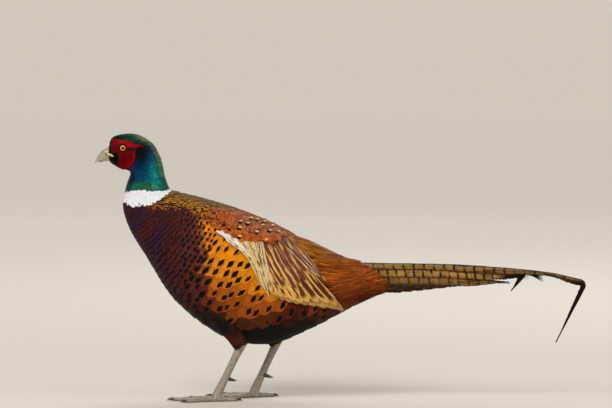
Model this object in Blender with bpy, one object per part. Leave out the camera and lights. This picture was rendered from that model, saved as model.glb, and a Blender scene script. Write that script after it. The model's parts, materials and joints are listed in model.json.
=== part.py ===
"""A life-size standing cock pheasant, divided into the pieces that a person would name.

The bird faces -X and stands on the floor, z = 0. Sizes are in millimetres and turned to metres as
each mesh is made. Its left side, with y below 0, is the side that the photograph shows.
"""

import math
from collections import namedtuple

import bmesh
import bpy
from mathutils import Matrix, Vector

MM = 0.001
GAP = 0.35  # left between pieces that touch
LEFT, RIGHT = -1, 1
SIDES = {"left": LEFT, "right": RIGHT}

# The body seen from the side, as slanting slices from the bill's base to the tips of the tail
# coverts. top and bottom are (x, z) points of the outline. fullness widens a slice below its middle
# and square, from 2 for an ellipse, flattens its sides.
Slice = namedtuple("Slice", "name top bottom half_width fullness square")
BODY = [
    Slice("bill_base", (-290.5, 316.5), (-291.5, 300.5), 6.8, 0.00, 2.0),
    Slice("brow", (-284.5, 328.0), (-283.5, 294.5), 11.5, 0.00, 2.2),
    Slice("eye", (-271.5, 332.3), (-273.5, 289.0), 14.3, -0.04, 2.6),
    Slice("hind_crown", (-254.5, 331.8), (-263.5, 286.5), 15.6, 0.02, 2.4),
    Slice("nape", (-235.5, 321.0), (-262.5, 281.5), 16.8, 0.02, 2.1),
    Slice("upper_neck", (-225.0, 303.0), (-264.0, 277.0), 17.8, 0.00, 2.0),
    Slice("mid_neck", (-220.0, 282.0), (-266.5, 270.5), 20.0, 0.00, 2.0),
    Slice("collar_top", (-213.5, 264.5), (-269.0, 260.5), 24.0, 0.00, 2.0),
    Slice("collar_foot", (-208.5, 262.3), (-272.0, 243.5), 29.0, 0.04, 2.0),
    Slice("shoulder", (-190.5, 257.5), (-263.0, 214.0), 40.0, 0.06, 2.1),
    Slice("breast", (-169.0, 252.0), (-241.5, 178.0), 48.0, 0.06, 2.2),
    Slice("keel", (-130.5, 240.5), (-205.0, 123.0), 53.0, 0.08, 2.2),
    Slice("belly", (-86.5, 223.0), (-146.0, 79.0), 53.5, 0.08, 2.2),
    Slice("hind_belly", (-50.5, 204.5), (-88.0, 70.0), 49.0, 0.04, 2.2),
    Slice("vent", (-19.0, 189.5), (-35.0, 90.0), 40.0, 0.00, 2.1),
    Slice("rump", (7.0, 177.5), (5.0, 111.0), 30.0, 0.00, 2.1),
    Slice("coverts", (34.5, 171.8), (37.5, 127.5), 22.5, 0.00, 2.0),
    Slice("covert_tips", (60.0, 171.0), (62.5, 136.5), 16.5, 0.00, 2.0),
]
STATION = {piece.name: number for number, piece in enumerate(BODY)}
RINGS_PER_STATION = 2
RING_POINTS = 24

# Where the body is parted, as places along the slices
HEAD_END = 4.4
NECK_END = STATION["collar_top"]
COLLAR_END = STATION["collar_foot"]
TRUNK_END = 14.4
RUMP_END = STATION["covert_tips"]

# The bill's two halves, as upright slices from inside the head to the tip
BillSlice = namedtuple("BillSlice", "x top bottom half_width")
UPPER_BILL = [
    BillSlice(-282.5, 311.0, 304.9, 5.6),
    BillSlice(-288.0, 315.6, 303.6, 6.0),
    BillSlice(-292.5, 314.6, 302.3, 5.9),
    BillSlice(-297.5, 311.6, 300.6, 5.0),
    BillSlice(-302.0, 306.6, 298.8, 3.6),
    BillSlice(-304.8, 301.4, 296.8, 2.1),
    BillSlice(-306.3, 297.0, 294.2, 0.8),
]
LOWER_BILL = [
    BillSlice(-282.5, 304.4, 299.4, 4.8),
    BillSlice(-288.0, 303.1, 299.2, 5.2),
    BillSlice(-293.5, 301.6, 298.6, 4.7),
    BillSlice(-298.5, 299.8, 297.3, 3.4),
    BillSlice(-301.6, 298.5, 296.8, 1.8),
]
BILL_POINTS = 14

# The eye: a ball set in the head, of which a disc 8 mm across shows
EYE_CENTRE = (-271.4, 11.2, 315.6)
EYE_RADIUS = 5.2

# The bare red face, as an outline seen from the side, and how thick the skin stands on the head
FACE_OUTLINE = [
    (-286.0, 323.6), (-284.3, 326.8), (-279.4, 327.2), (-272.5, 325.6), (-264.5, 325.0),
    (-257.5, 321.4), (-244.8, 317.8), (-252.5, 315.4), (-255.4, 311.4), (-255.8, 304.0),
    (-257.5, 297.4), (-261.5, 291.4), (-266.5, 288.4), (-271.5, 287.9), (-276.0, 290.4),
    (-277.8, 296.4), (-277.6, 303.4), (-278.4, 309.2), (-284.2, 308.0), (-286.4, 312.5),
]
FACE_THICKNESS = 1.5
FACE_REACH = (6.0, 25.0)  # from the middle plane, past the widest place of the cheeks

# The folded wing seen from the side: its upper and lower edges from the shoulder to the tip
WingSlice = namedtuple("WingSlice", "top bottom thickness clear_of_middle")
WING = [
    WingSlice((-171.0, 241.0), (-170.0, 222.0), 1.6, 0.0),
    WingSlice((-143.0, 238.5), (-141.0, 202.5), 6.0, 0.0),
    WingSlice((-113.0, 229.5), (-112.0, 176.0), 7.5, 0.0),
    WingSlice((-78.0, 211.0), (-97.0, 145.0), 7.5, 6.0),
    WingSlice((-45.0, 179.0), (-67.0, 121.0), 6.5, 14.0),
    WingSlice((-18.0, 150.0), (-30.0, 114.5), 4.5, 23.0),
    WingSlice((7.0, 111.5), (3.5, 108.0), 1.8, 28.0),
]
WING_ROWS, WING_COLUMNS = 14, 6
WING_PART = 0.52  # where the coverts end and the flight feathers begin, of the wing's length
WING_CLEARANCE = 1.3  # over the body's facets
WING_EDGE = 0.25  # of the thickness, kept at the wing's upper and lower edges

# The tail: nine pairs of feathers that lie like the two slopes of a roof
TAIL_PAIRS = 9
TAIL_RIDGE = [(63.6, 171.0), (140.0, 169.6), (205.0, 165.4), (262.0, 159.4), (301.0, 150.8)]
Droop = namedtuple("Droop", "radius length slope")
TIP_DROOP = Droop(8.0, 77.0, math.radians(118))  # the worn tip, which hooks down and forward
SECOND_DROOP = Droop(14.0, 11.0, math.radians(128))
SECOND_PAIR_LENGTH = 156.0  # before its bend
OUTER_PAIR_LENGTH = 140.0  # of the third pair. The pairs outside it are shorter by steps
OUTER_PAIR_STEP = 1.0
ROOF_ANGLES = math.radians(35), math.radians(88)  # the roof's slope at the ridge and the eaves
ROOF_ARC = 36.0  # from ridge to eaves along the slope
CENTRAL_ARCS = (15.0, 15.0, 14.5, 14.0, 12.0, 9.0, 7.5, 14.0, 9.5, 7.0, 2.0)  # at even lengths
SECOND_ARCS = (26.0, 26.0, 26.0, 26.0, 26.0, 26.0, 25.0, 22.0, 16.5, 9.5, 5.0)
OUTER_ARC, OUTER_ARC_STEP = 31.5, 2.1
PAIR_PITCH = 1.25  # from one layer of feathers to the next
VANE_THICKNESS = 0.7
RIDGE_GAP, INNER_STEP = 0.7, 1.6  # of each pair's inner edge from the ridge, down the slope

# Legs: (x, y, z) of the ankle, at the top of the bare shank, and of the foot, for the left side
Leg = namedtuple("Leg", "knee ankle foot heading")
LEGS = {
    "left": Leg((-164.0, 28.0, 142.0), (-124.0, 33.0, 70.0), (-154.0, 32.0, 7.0), 6.0),
    "right": Leg((-120.0, 28.0, 140.0), (-80.0, 33.0, 69.0), (-108.0, 32.0, 7.0), -4.0),
}
THIGH_RADII = (9.0, 21.0, 24.0, 21.0, 14.5, 10.0, 8.2)  # from the knee to the ankle, in feather
SHANK_RADII = (5.6, 4.3, 4.0, 4.3, 5.2)
SHANK_DEPTH = 1.15  # of a shank front to back, for each unit of width
SHANK_IN_THIGH = 5.0
SPUR_HEIGHT, SPUR_LENGTH, SPUR_RADIUS, SPUR_INWARD = 0.36, 13.0, 2.8, 0.4
Toe = namedtuple("Toe", "name turn length claw")
TOES = [
    Toe("inner", 36.0, 34.0, 8.0),
    Toe("middle", 0.0, 46.0, 9.5),
    Toe("outer", -36.0, 37.0, 8.0),
    Toe("hind", 172.0, 17.0, 7.0),
]
TOE_RADIUS = 3.5
PAD_RADIUS, PAD_HEIGHT = 7.5, 9.5

Look = namedtuple("Look", "colour roughness metallic")
LOOKS = {
    "dark_plumage": Look((0.010, 0.060, 0.070), 0.40, 0.3),
    "white_plumage": Look((0.80, 0.81, 0.82), 0.80, 0.0),
    "body_plumage": Look((0.24, 0.07, 0.02), 0.55, 0.0),
    "rump_plumage": Look((0.28, 0.09, 0.02), 0.60, 0.0),
    "wing_plumage": Look((0.50, 0.32, 0.14), 0.60, 0.0),
    "tail_plumage": Look((0.26, 0.17, 0.07), 0.60, 0.0),
    "face_skin": Look((0.45, 0.006, 0.012), 0.50, 0.0),
    "bill_horn": Look((0.55, 0.50, 0.34), 0.45, 0.0),
    "eye_iris": Look((0.60, 0.42, 0.04), 0.08, 0.0),
    "leg_scales": Look((0.24, 0.20, 0.16), 0.55, 0.0),
    "claw_horn": Look((0.07, 0.06, 0.05), 0.40, 0.0),
}


def clear_scene():
    for obj in list(bpy.data.objects):
        bpy.data.objects.remove(obj)


def material(name):
    """The Principled material of one kind of surface, made when it is first asked for."""
    found = bpy.data.materials.get(name)
    if found:
        return found
    made = bpy.data.materials.new(name)
    made.use_nodes = True
    shader = made.node_tree.nodes["Principled BSDF"]
    look = LOOKS[name]
    shader.inputs["Base Color"].default_value = (*look.colour, 1.0)
    shader.inputs["Roughness"].default_value = look.roughness
    shader.inputs["Metallic"].default_value = look.metallic
    return made


def mix(a, b, share):
    return a + (b - a) * share


def smooth_step(low, high, value):
    share = min(1.0, max(0.0, (value - low) / (high - low)))
    return share * share * (3 - 2 * share)


def through(values, place):
    """The Catmull-Rom curve through numbers or Vectors at a place counted in them."""
    last = len(values) - 1
    start = min(last - 1, max(0, int(math.floor(place))))
    share = place - start
    a, b, c, d = (values[min(last, max(0, start + step))] for step in (-1, 0, 1, 2))
    return 0.5 * (
        2 * b
        + (c - a) * share
        + (2 * a - 5 * b + 4 * c - d) * share**2
        + (3 * b - a - 3 * c + d) * share**3
    )


def flat_vectors(points):
    return [Vector(point) for point in points]


BODY_TOPS = flat_vectors(piece.top for piece in BODY)
BODY_BOTTOMS = flat_vectors(piece.bottom for piece in BODY)


def signed_power(value, power):
    return math.copysign(abs(value) ** power, value)


def body_slice(place):
    """The slice at a place along the body: its top, bottom, half-width, fullness and square."""
    sizes = [through([getattr(piece, key) for piece in BODY], place)
             for key in ("half_width", "fullness", "square")]
    return through(BODY_TOPS, place), through(BODY_BOTTOMS, place), *sizes


def body_point(place, turn, grow=0.0):
    """A point of the body's surface. turn is 0 at the back, 90 degrees at the side (+Y) and 180
    below, and grow moves the surface out."""
    top, bottom, half_width, fullness, square = body_slice(place)
    centre, up = (top + bottom) / 2, (top - bottom) / 2
    height = up.length
    upward = up / height
    level = signed_power(math.cos(turn), 2 / square)
    side = signed_power(math.sin(turn), 2 / square) * (1 - fullness * math.cos(turn))
    across = side * (half_width + grow)
    spot = centre + upward * level * (height + grow)
    return Vector((spot.x, across, spot.y))


def new_object(name, mesh_builder, look):
    """An object from a bmesh in millimetres, with its faces turned out and shaded smooth."""
    bmesh.ops.recalc_face_normals(mesh_builder, faces=mesh_builder.faces)
    mesh_builder.transform(Matrix.Scale(MM, 4))
    mesh = bpy.data.meshes.new(name)
    mesh_builder.to_mesh(mesh)
    mesh_builder.free()
    mesh.materials.append(material(look))
    mesh.shade_smooth()
    mesh.set_sharp_from_angle(angle=math.radians(45))
    obj = bpy.data.objects.new(name, mesh)
    bpy.context.scene.collection.objects.link(obj)
    return obj


def loft(name, rings, look):
    """A closed solid through rings of points, with a flat cap on the first and the last."""
    builder = bmesh.new()
    made = [[builder.verts.new(point) for point in ring] for ring in rings]
    for near, far in zip(made, made[1:]):
        for index, corner in enumerate(near):
            after = (index + 1) % len(near)
            builder.faces.new((corner, near[after], far[after], far[index]))
    builder.faces.new(made[0])
    builder.faces.new(made[-1])
    return new_object(name, builder, look)


def sheet(name, upper, lower, look):
    """A closed solid between two grids of points, joined round their borders."""
    builder = bmesh.new()
    grids = [[[builder.verts.new(point) for point in row] for row in grid] for grid in (upper, lower)]
    for grid in grids:
        for near, far in zip(grid, grid[1:]):
            for index in range(len(near) - 1):
                builder.faces.new((near[index], near[index + 1], far[index + 1], far[index]))
    rims = [border(grid) for grid in grids]
    for index in range(len(rims[0])):
        after = (index + 1) % len(rims[0])
        builder.faces.new((rims[0][index], rims[0][after], rims[1][after], rims[1][index]))
    return new_object(name, builder, look)


def border(grid):
    """The corners round a grid, in order."""
    ends = [row[-1] for row in grid[1:-1]]
    starts = [row[0] for row in grid[1:-1]]
    return grid[0] + ends + grid[-1][::-1] + starts[::-1]


def tube(name, centres, radii, look, points=12, depth=1.0):
    """A closed round solid along a line of centres. depth widens it along X."""
    centres = flat_vectors(centres)
    along = (centres[-1] - centres[0]).normalized()
    across = Vector((0, 1, 0))
    forward = across.cross(along).normalized()
    rings = [
        [centre + across * radius * math.cos(turn) + forward * radius * depth * math.sin(turn)
         for turn in turns(points)]
        for centre, radius in zip(centres, radii)
    ]
    return loft(name, rings, look)


def turns(count):
    return [2 * math.pi * index / count for index in range(count)]


def ball(name, centre, radius, look, segments=14, rows=8):
    builder = bmesh.new()
    bmesh.ops.create_uvsphere(builder, u_segments=segments, v_segments=rows, radius=radius)
    bmesh.ops.translate(builder, verts=builder.verts, vec=Vector(centre))
    return new_object(name, builder, look)


def as_cutter(obj):
    obj.hide_render = True
    obj.display_type = "WIRE"
    return obj


def combine(obj, other, operation):
    change = obj.modifiers.new(operation.lower(), "BOOLEAN")
    change.operation = operation
    change.object = other
    change.solver = "EXACT"


def body_length(name, start, end, look, grow=0.0):
    """The length of the body between two places, with flat ends."""
    count = max(2, math.ceil((end - start) * RINGS_PER_STATION))
    places = [mix(start, end, step / count) for step in range(count + 1)]
    rings = [[body_point(place, turn, grow) for turn in turns(RING_POINTS)] for place in places]
    return loft(name, rings, look)


def after_cut(place):
    """The place just past a cut, at which the next length leaves the gap at its narrow side."""
    here = body_slice(place)
    step = 0.01
    there = body_slice(place + step)
    slowest = min((there[0] - here[0]).length, (there[1] - here[1]).length) / step
    return place + GAP / slowest


def make_body():
    """The plumage of the head, neck, white collar, trunk and rump."""
    pieces = {
        "head": (0.0, HEAD_END, "dark_plumage"),
        "neck": (HEAD_END, NECK_END, "dark_plumage"),
        "neck_ring": (NECK_END, COLLAR_END, "white_plumage"),
        "trunk": (COLLAR_END, TRUNK_END, "body_plumage"),
        "rump": (TRUNK_END, RUMP_END, "rump_plumage"),
    }
    made = {}
    for name, (start, end, look) in pieces.items():
        begin = after_cut(start) if start else start
        made[name] = body_length(name, begin, end, look)
    return made


def bill_rings(slices, grow=0.0):
    rings = []
    for piece in slices:
        middle, half = (piece.top + piece.bottom) / 2, (piece.top - piece.bottom) / 2
        rings.append([
            Vector((piece.x, (piece.half_width + grow) * math.sin(turn), middle + (half + grow) * math.cos(turn)))
            for turn in turns(BILL_POINTS)
        ])
    return rings


def make_bill(head):
    for name, slices in (("bill_upper", UPPER_BILL), ("bill_lower", LOWER_BILL)):
        loft(name, bill_rings(slices), "bill_horn")
        room = loft(f"{name}_room", bill_rings(slices, GAP), "bill_horn")
        room.location.x = GAP * MM
        combine(head, as_cutter(room), "DIFFERENCE")


def make_eyes(head):
    """The eyes, and the sockets' cutters for the pieces round them."""
    rooms = {}
    for name, side in SIDES.items():
        centre = (EYE_CENTRE[0], side * EYE_CENTRE[1], EYE_CENTRE[2])
        ball(f"eye_{name}", centre, EYE_RADIUS, "eye_iris")
        rooms[name] = as_cutter(ball(f"eye_{name}_room", centre, EYE_RADIUS + GAP, "eye_iris"))
        combine(head, rooms[name], "DIFFERENCE")
    return rooms


def make_faces(eye_rooms):
    """The bare red skin of each cheek: a plate cut to the head's own curve."""
    under = as_cutter(body_length("head_under_face", -0.0, HEAD_END + 1, "dark_plumage", GAP))
    over = as_cutter(
        body_length("head_over_face", 0.0, HEAD_END + 1, "dark_plumage", GAP + FACE_THICKNESS))
    for name, side in SIDES.items():
        rings = [[Vector((x, side * reach, z)) for x, z in FACE_OUTLINE] for reach in FACE_REACH]
        face = loft(f"face_{name}", rings, "face_skin")
        combine(face, over, "INTERSECT")
        combine(face, under, "DIFFERENCE")
        combine(face, eye_rooms[name], "DIFFERENCE")


def body_place(x, z):
    """The place along the body and the turn round it of a point seen from the side."""
    spot = Vector((x, z))

    def offside(place):
        top, bottom = body_slice(place)[:2]
        up = top - bottom
        return (spot - bottom).x * up.y - (spot - bottom).y * up.x

    low, high = STATION["collar_foot"], RUMP_END
    for _ in range(40):
        middle = (low + high) / 2
        low, high = (middle, high) if offside(middle) > 0 else (low, middle)
    top, bottom, _, _, square = body_slice(low)
    up = (top - bottom) / 2
    level = (spot - (top + bottom) / 2).dot(up) / up.length_squared
    level = max(-0.995, min(0.995, level))
    return low, math.acos(signed_power(level, square / 2))


def body_normal(place, turn):
    step = 0.02
    along = body_point(place + step, turn) - body_point(place - step, turn)
    around = body_point(place, turn + step) - body_point(place, turn - step)
    return along.cross(around).normalized()


def wing_point(length_share, depth_share, side, lift):
    """A point of the folded wing, which lies on the body and stands clear of it at the tip.
    lift is 0 on the wing's inner face and 1 on its outer face."""
    place = length_share * (len(WING) - 1)
    top = through(flat_vectors(piece.top for piece in WING), place)
    bottom = through(flat_vectors(piece.bottom for piece in WING), place)
    spot = top.lerp(bottom, depth_share)
    along, turn = body_place(spot.x, spot.y)
    on_body, out = body_point(along, turn), body_normal(along, turn)
    clear = through([piece.clear_of_middle for piece in WING], place)
    crown = WING_EDGE + (1 - WING_EDGE) * math.sin(math.pi * depth_share) ** 0.6
    thickness = through([piece.thickness for piece in WING], place) * crown
    sideways = smooth_step(0.55, 0.85, length_share)
    out = out.lerp(Vector((0, 1, 0)), sideways).normalized()
    point = on_body + out * (WING_CLEARANCE + lift * thickness)
    return Vector((point.x, side * math.hypot(point.y, clear), point.z))


def make_wings():
    """Each folded wing in two pieces: the shoulder with its coverts, and the flight feathers."""
    parts = {"wing_coverts": (0.0, WING_PART), "flight_feathers": (WING_PART + 0.004, 1.0)}
    for name, (start, end) in parts.items():
        rows = max(4, round(WING_ROWS * (end - start)))
        for side_name, side in SIDES.items():
            grids = [
                [[wing_point(mix(start, end, row / rows), column / WING_COLUMNS, side, lift)
                  for column in range(WING_COLUMNS + 1)]
                 for row in range(rows + 1)]
                for lift in (0.0, 1.0)
            ]
            sheet(f"{name}_{side_name}", *grids, "wing_plumage")


def roof(arc):
    """The tail's cross-section: how far out and down a point is, and the slope there."""
    low, high = ROOF_ANGLES
    rate = (high - low) / ROOF_ARC
    slope = low + rate * arc
    out = (math.sin(slope) - math.sin(low)) / rate
    down = (math.cos(low) - math.cos(slope)) / rate
    return out, down, slope


def hooked_line(ridge, droop):
    """A smooth side-view line through the ridge's points that ends in a bend and a straight droop.
    The droop's slope is turned down from straight back."""
    points = flat_vectors(ridge)
    steps = 3 * (len(points) - 1)
    line = [through(points, (len(points) - 1) * step / steps) for step in range(steps + 1)]
    heading = (line[-1] - line[-2]).normalized()
    begin = math.atan2(-heading.y, heading.x)
    centre = line[-1] - Vector((math.sin(begin), math.cos(begin))) * droop.radius
    bends = 6
    for step in range(1, bends + 1):
        angle = mix(begin, droop.slope, step / bends)
        line.append(centre + Vector((math.sin(angle), math.cos(angle))) * droop.radius)
    down = Vector((math.cos(droop.slope), -math.sin(droop.slope)))
    corner = line[-1]
    line += [corner + down * droop.length * share for share in (0.25, 0.5, 0.75, 1.0)]
    return line


def cut_to(line, length):
    """The first stretch of a side-view line, up to a length along it."""
    kept = [line[0]]
    for near, far in zip(line, line[1:]):
        step = (far - near).length
        if step >= length:
            return kept + [near.lerp(far, length / step)]
        kept.append(far)
        length -= step
    return kept


def shares_along(line):
    lengths = [0.0]
    for near, far in zip(line, line[1:]):
        lengths.append(lengths[-1] + (far - near).length)
    return [length / lengths[-1] for length in lengths]


def pair_line(pair):
    """The ridge of one pair, counted from 1 at the middle of the tail."""
    if pair == 1:
        return hooked_line(TAIL_RIDGE, TIP_DROOP)
    if pair == 2:
        ridge = cut_to([Vector(point) for point in TAIL_RIDGE], SECOND_PAIR_LENGTH)
        return hooked_line(ridge, SECOND_DROOP)
    left = (TAIL_PAIRS - pair + 1) / (TAIL_PAIRS - 2)
    length = OUTER_PAIR_LENGTH * left**OUTER_PAIR_STEP
    return cut_to([Vector(point) for point in TAIL_RIDGE], length)


def pair_arcs(pair, share):
    """The inner and outer edges of a pair's vane along the roof's slope, at a share of its length."""
    inner = RIDGE_GAP + INNER_STEP * (pair - 1)
    if pair <= 2:
        arcs = (CENTRAL_ARCS, SECOND_ARCS)[pair - 1]
        return inner, through(arcs, share * (len(arcs) - 1))
    outer = OUTER_ARC + OUTER_ARC_STEP * (pair - 3)
    shaft = mix(inner, outer, 0.4)
    width = 1 - 0.94 * smooth_step(0.55, 1.03, share)
    return mix(shaft, inner, width), mix(shaft, outer, width)


def tail_point(line, index, arc, depth, side):
    near, far = line[max(0, index - 1)], line[min(len(line) - 1, index + 1)]
    heading = (far - near).normalized()
    up = Vector((-heading.y, heading.x))
    out, down, slope = roof(arc)
    out -= depth * math.sin(slope)
    down += depth * math.cos(slope)
    spot = line[index] - up * down
    return Vector((spot.x, side * out, spot.y))


def make_tail():
    for pair in range(1, TAIL_PAIRS + 1):
        line = pair_line(pair)
        shares = shares_along(line)
        depth = PAIR_PITCH * (pair - 1)
        for side_name, side in SIDES.items():
            grids = []
            for layer in (depth, depth + VANE_THICKNESS):
                grids.append([
                    [tail_point(line, index, mix(*pair_arcs(pair, share), step / 3), layer, side)
                     for step in range(4)]
                    for index, share in enumerate(shares)
                ])
            sheet(f"tail_feather_{pair}_{side_name}", *grids, "tail_plumage")


def leg_line(start, end, count):
    start, end = Vector(start), Vector(end)
    return [start.lerp(end, step / (count - 1)) for step in range(count)]


def make_thigh(name, leg, trunk_room, shank_room):
    """The feathered thigh, cut away where the trunk's own plumage begins and round the shank."""
    thigh = tube(f"thigh_{name}", leg_line(leg.knee, leg.ankle, len(THIGH_RADII)), THIGH_RADII,
                 "body_plumage", points=18, depth=1.15)
    combine(thigh, trunk_room, "DIFFERENCE")
    combine(thigh, shank_room, "DIFFERENCE")


def toe_rings(foot, toe, heading, start, end, base_radius, tip_radius, count, rise=0.0, points=8):
    """Rings of a toe or claw that lies on the floor, with a small flat underneath."""
    turn = math.radians(toe.turn + heading)
    along = Vector((-math.cos(turn), math.sin(turn), 0))
    across = Vector((-along.y, along.x, 0))
    rings = []
    for step in range(count):
        share = step / (count - 1)
        radius = mix(base_radius, tip_radius, share)
        joint = 1 + 0.08 * math.cos(share * (len(TOES) - 1) * 2 * math.pi)
        centre = Vector((foot[0], foot[1], 0)) + along * mix(start, end, share)
        height = radius * 0.86 + rise * math.sin(share * math.pi) - share * rise * 0.4
        rings.append([
            Vector((*(centre + across * radius * joint * math.cos(angle)).xy,
                    max(0.0, height + radius * math.sin(angle))))
            for angle in turns(points)
        ])
    return rings


def make_foot(name, leg):
    """The foot with its four toes in one piece, and the claws, each its own piece."""
    foot = leg.foot
    pad_heights = (0.0, 3.5, 7.0, PAD_HEIGHT)
    pad_sizes = (0.82, 1.0, 0.86, 0.6)
    pad = tube(f"foot_{name}", [(foot[0], foot[1], height) for height in pad_heights],
               [PAD_RADIUS * size for size in pad_sizes], "leg_scales", points=14)
    for toe in TOES:
        claw_root = toe.length + PAD_RADIUS
        rings = toe_rings(foot, toe, leg.heading, 0.0, claw_root, TOE_RADIUS, TOE_RADIUS * 0.72, 7)
        length = as_cutter(loft(f"toe_{toe.name}_{name}_joined", rings, "leg_scales"))
        combine(pad, length, "UNION")
        rings = toe_rings(foot, toe, leg.heading, claw_root + GAP, claw_root + toe.claw,
                          TOE_RADIUS * 0.62, 0.35, 5, rise=1.2, points=6)
        loft(f"claw_{toe.name}_{name}", rings, "claw_horn")


def make_shank(name, leg):
    """The bare shank from the ankle to the foot, with the spur behind it, and the cutter that
    makes room for it in other pieces."""
    top, bottom = Vector(leg.ankle), Vector((leg.foot[0], leg.foot[1], PAD_HEIGHT + GAP))
    down = (bottom - top).normalized()
    line = leg_line(top - down * SHANK_IN_THIGH, bottom, len(SHANK_RADII))
    shank = tube(f"shank_{name}", line, SHANK_RADII, "leg_scales", points=12, depth=SHANK_DEPTH)
    level_off(shank, bottom.z * MM)
    room_line = [line[0] - down * GAP, *line[1:]]
    room = as_cutter(tube(f"shank_{name}_room", room_line, [radius + GAP for radius in SHANK_RADII],
                          "leg_scales", points=12, depth=SHANK_DEPTH))
    root = bottom.lerp(top, SPUR_HEIGHT)
    back = Vector((-down.z, 0, down.x)).normalized()
    inward = Vector((0, -math.copysign(SPUR_INWARD, leg.foot[1]), 0))
    out = (back + inward).normalized()
    reach = SHANK_RADII[2] * 0.5, SHANK_RADII[2] + SPUR_LENGTH * 0.55, SHANK_RADII[2] + SPUR_LENGTH
    rise = 0.0, 0.4, 2.4
    spur_line = [root + out * far + Vector((0, 0, up)) for far, up in zip(reach, rise)]
    spur_sizes = SPUR_RADIUS, SPUR_RADIUS * 0.62, 0.4
    spur = tube(f"spur_{name}", spur_line, spur_sizes, "claw_horn", points=10)
    combine(spur, room, "DIFFERENCE")
    return room


def level_off(obj, height):
    """Raises what lies under a height to it, so that a slanting end sits flat."""
    for vertex in obj.data.vertices:
        vertex.co.z = max(vertex.co.z, height)


def make_legs():
    trunk_room = as_cutter(
        body_length("trunk_room", COLLAR_END, TRUNK_END + 1, "body_plumage", GAP))
    for name, side in SIDES.items():
        leg = LEGS[name]
        spots = [(spot[0], side * spot[1], spot[2]) for spot in leg[:3]]
        placed = Leg(*spots, leg.heading)
        make_thigh(name, placed, trunk_room, make_shank(name, placed))
        make_foot(name, placed)


def main():
    clear_scene()
    body = make_body()
    make_bill(body["head"])
    make_faces(make_eyes(body["head"]))
    make_wings()
    make_tail()
    make_legs()


main()
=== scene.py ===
# %% [markdown]
# # A cock pheasant, feather by feather
# The solid model of the bird is already made, in pieces that a person would name. This lesson
# clothes it. Everything is worked out in millimetres with numpy, because a plumage is thousands of
# small shapes that follow one rule, and is turned to metres as each mesh is made.

import json
import math
from collections import namedtuple

import bmesh
import bpy
import numpy as np
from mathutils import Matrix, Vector, noise
from mathutils.bvhtree import BVHTree
from mathutils.geometry import delaunay_2d_cdt

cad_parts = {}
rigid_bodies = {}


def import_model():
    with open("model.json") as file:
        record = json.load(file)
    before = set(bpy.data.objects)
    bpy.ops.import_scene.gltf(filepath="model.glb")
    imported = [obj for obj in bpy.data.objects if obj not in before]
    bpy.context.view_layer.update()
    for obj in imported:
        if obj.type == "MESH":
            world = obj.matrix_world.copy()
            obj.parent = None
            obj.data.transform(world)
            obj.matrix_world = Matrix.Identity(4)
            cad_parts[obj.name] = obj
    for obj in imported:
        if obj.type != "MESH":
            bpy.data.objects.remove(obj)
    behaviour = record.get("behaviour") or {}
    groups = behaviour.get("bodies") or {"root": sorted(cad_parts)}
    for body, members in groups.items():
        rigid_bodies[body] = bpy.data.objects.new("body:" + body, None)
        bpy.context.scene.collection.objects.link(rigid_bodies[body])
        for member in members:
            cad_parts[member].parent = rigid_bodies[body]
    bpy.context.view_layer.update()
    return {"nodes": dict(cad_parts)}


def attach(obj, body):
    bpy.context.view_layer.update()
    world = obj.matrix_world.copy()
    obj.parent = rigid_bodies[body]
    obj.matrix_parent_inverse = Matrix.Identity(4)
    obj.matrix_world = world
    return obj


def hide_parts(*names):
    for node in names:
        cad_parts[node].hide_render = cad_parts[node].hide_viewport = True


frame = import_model()
nodes = frame["nodes"]
print("solid pieces:", len(nodes))

# %% [markdown]
# ## Small helpers
# Colours are written as on a paint chart, in sRGB, and Blender works in linear light, so one
# function turns the one to the other. A second adds a shader node with its settings and links, and a
# third starts a material. ease() is the smooth step that nearly every marking on the bird fades by.

# %% Helpers for colours, nodes and fades
MM = 0.001


def linear(code):
    """An sRGB hex colour as linear red, green and blue."""
    shares = np.array([int(code[start:start + 2], 16) / 255 for start in (1, 3, 5)])
    return np.where(shares <= 0.04045, shares / 12.92, ((shares + 0.055) / 1.055) ** 2.4)


def add(tree, kind, inputs=None, operation=None, **settings):
    """Adds a shader node. inputs maps a socket to a value, to an output that feeds it, or to a node
    whose first output does. operation and settings are the node's options."""
    node = tree.nodes.new("ShaderNode" + kind)
    if operation:
        node.operation = operation
    for name, value in settings.items():
        setattr(node, name, value)
    for socket, value in (inputs or {}).items():
        if isinstance(value, bpy.types.Node):
            value = value.outputs[0]
        if isinstance(value, bpy.types.NodeSocket):
            tree.links.new(value, node.inputs[socket])
        else:
            node.inputs[socket].default_value = value
    return node


def new_material(name, settings):
    """A material whose shader has these settings, with its node tree and its shader."""
    material = bpy.data.materials.new(name)
    material.use_nodes = True
    shader = material.node_tree.nodes["Principled BSDF"]
    for socket, value in settings.items():
        shader.inputs[socket].default_value = value
    return material, material.node_tree, shader


def ease(low, high, value):
    """0 at low, 1 at high, and smooth between them."""
    share = np.clip((np.asarray(value, float) - low) / (high - low), 0, 1)
    return share * share * (3 - 2 * share)


def toward(start, end, share):
    """Mixes colours toward another, or toward the ink of that name, by an array of shares."""
    end = INK[end] if isinstance(end, str) else end
    return start + (np.asarray(end) - start) * np.asarray(share)[..., None]


def full_turn(count):
    return np.linspace(0, 2 * np.pi, count, endpoint=False)


def distances(line):
    """How far along a line of points each one is."""
    return np.concatenate([[0], np.cumsum(np.linalg.norm(np.diff(line, axis=0), axis=1))])


def cloud(spots, size, seed=0.0):
    """Smooth noise from -1 to 1 at points in millimetres, with lumps of about that size."""
    flat = spots.reshape(-1, 3) / size + seed
    values = [noise.noise(Vector(spot)) for spot in flat]
    return np.array(values).reshape(spots.shape[:-1])

# %% [markdown]
# ## The body's surface
# Every feather has to know where the body is under it. The solid trunk was lofted through slanting
# slices, so the same slices give its surface here: a place counted along the slices and a turn round
# them, 0 at the back and half a turn at the belly. A curve through the slices is smooth where the
# solid has facets, so the plumage is too.

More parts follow.
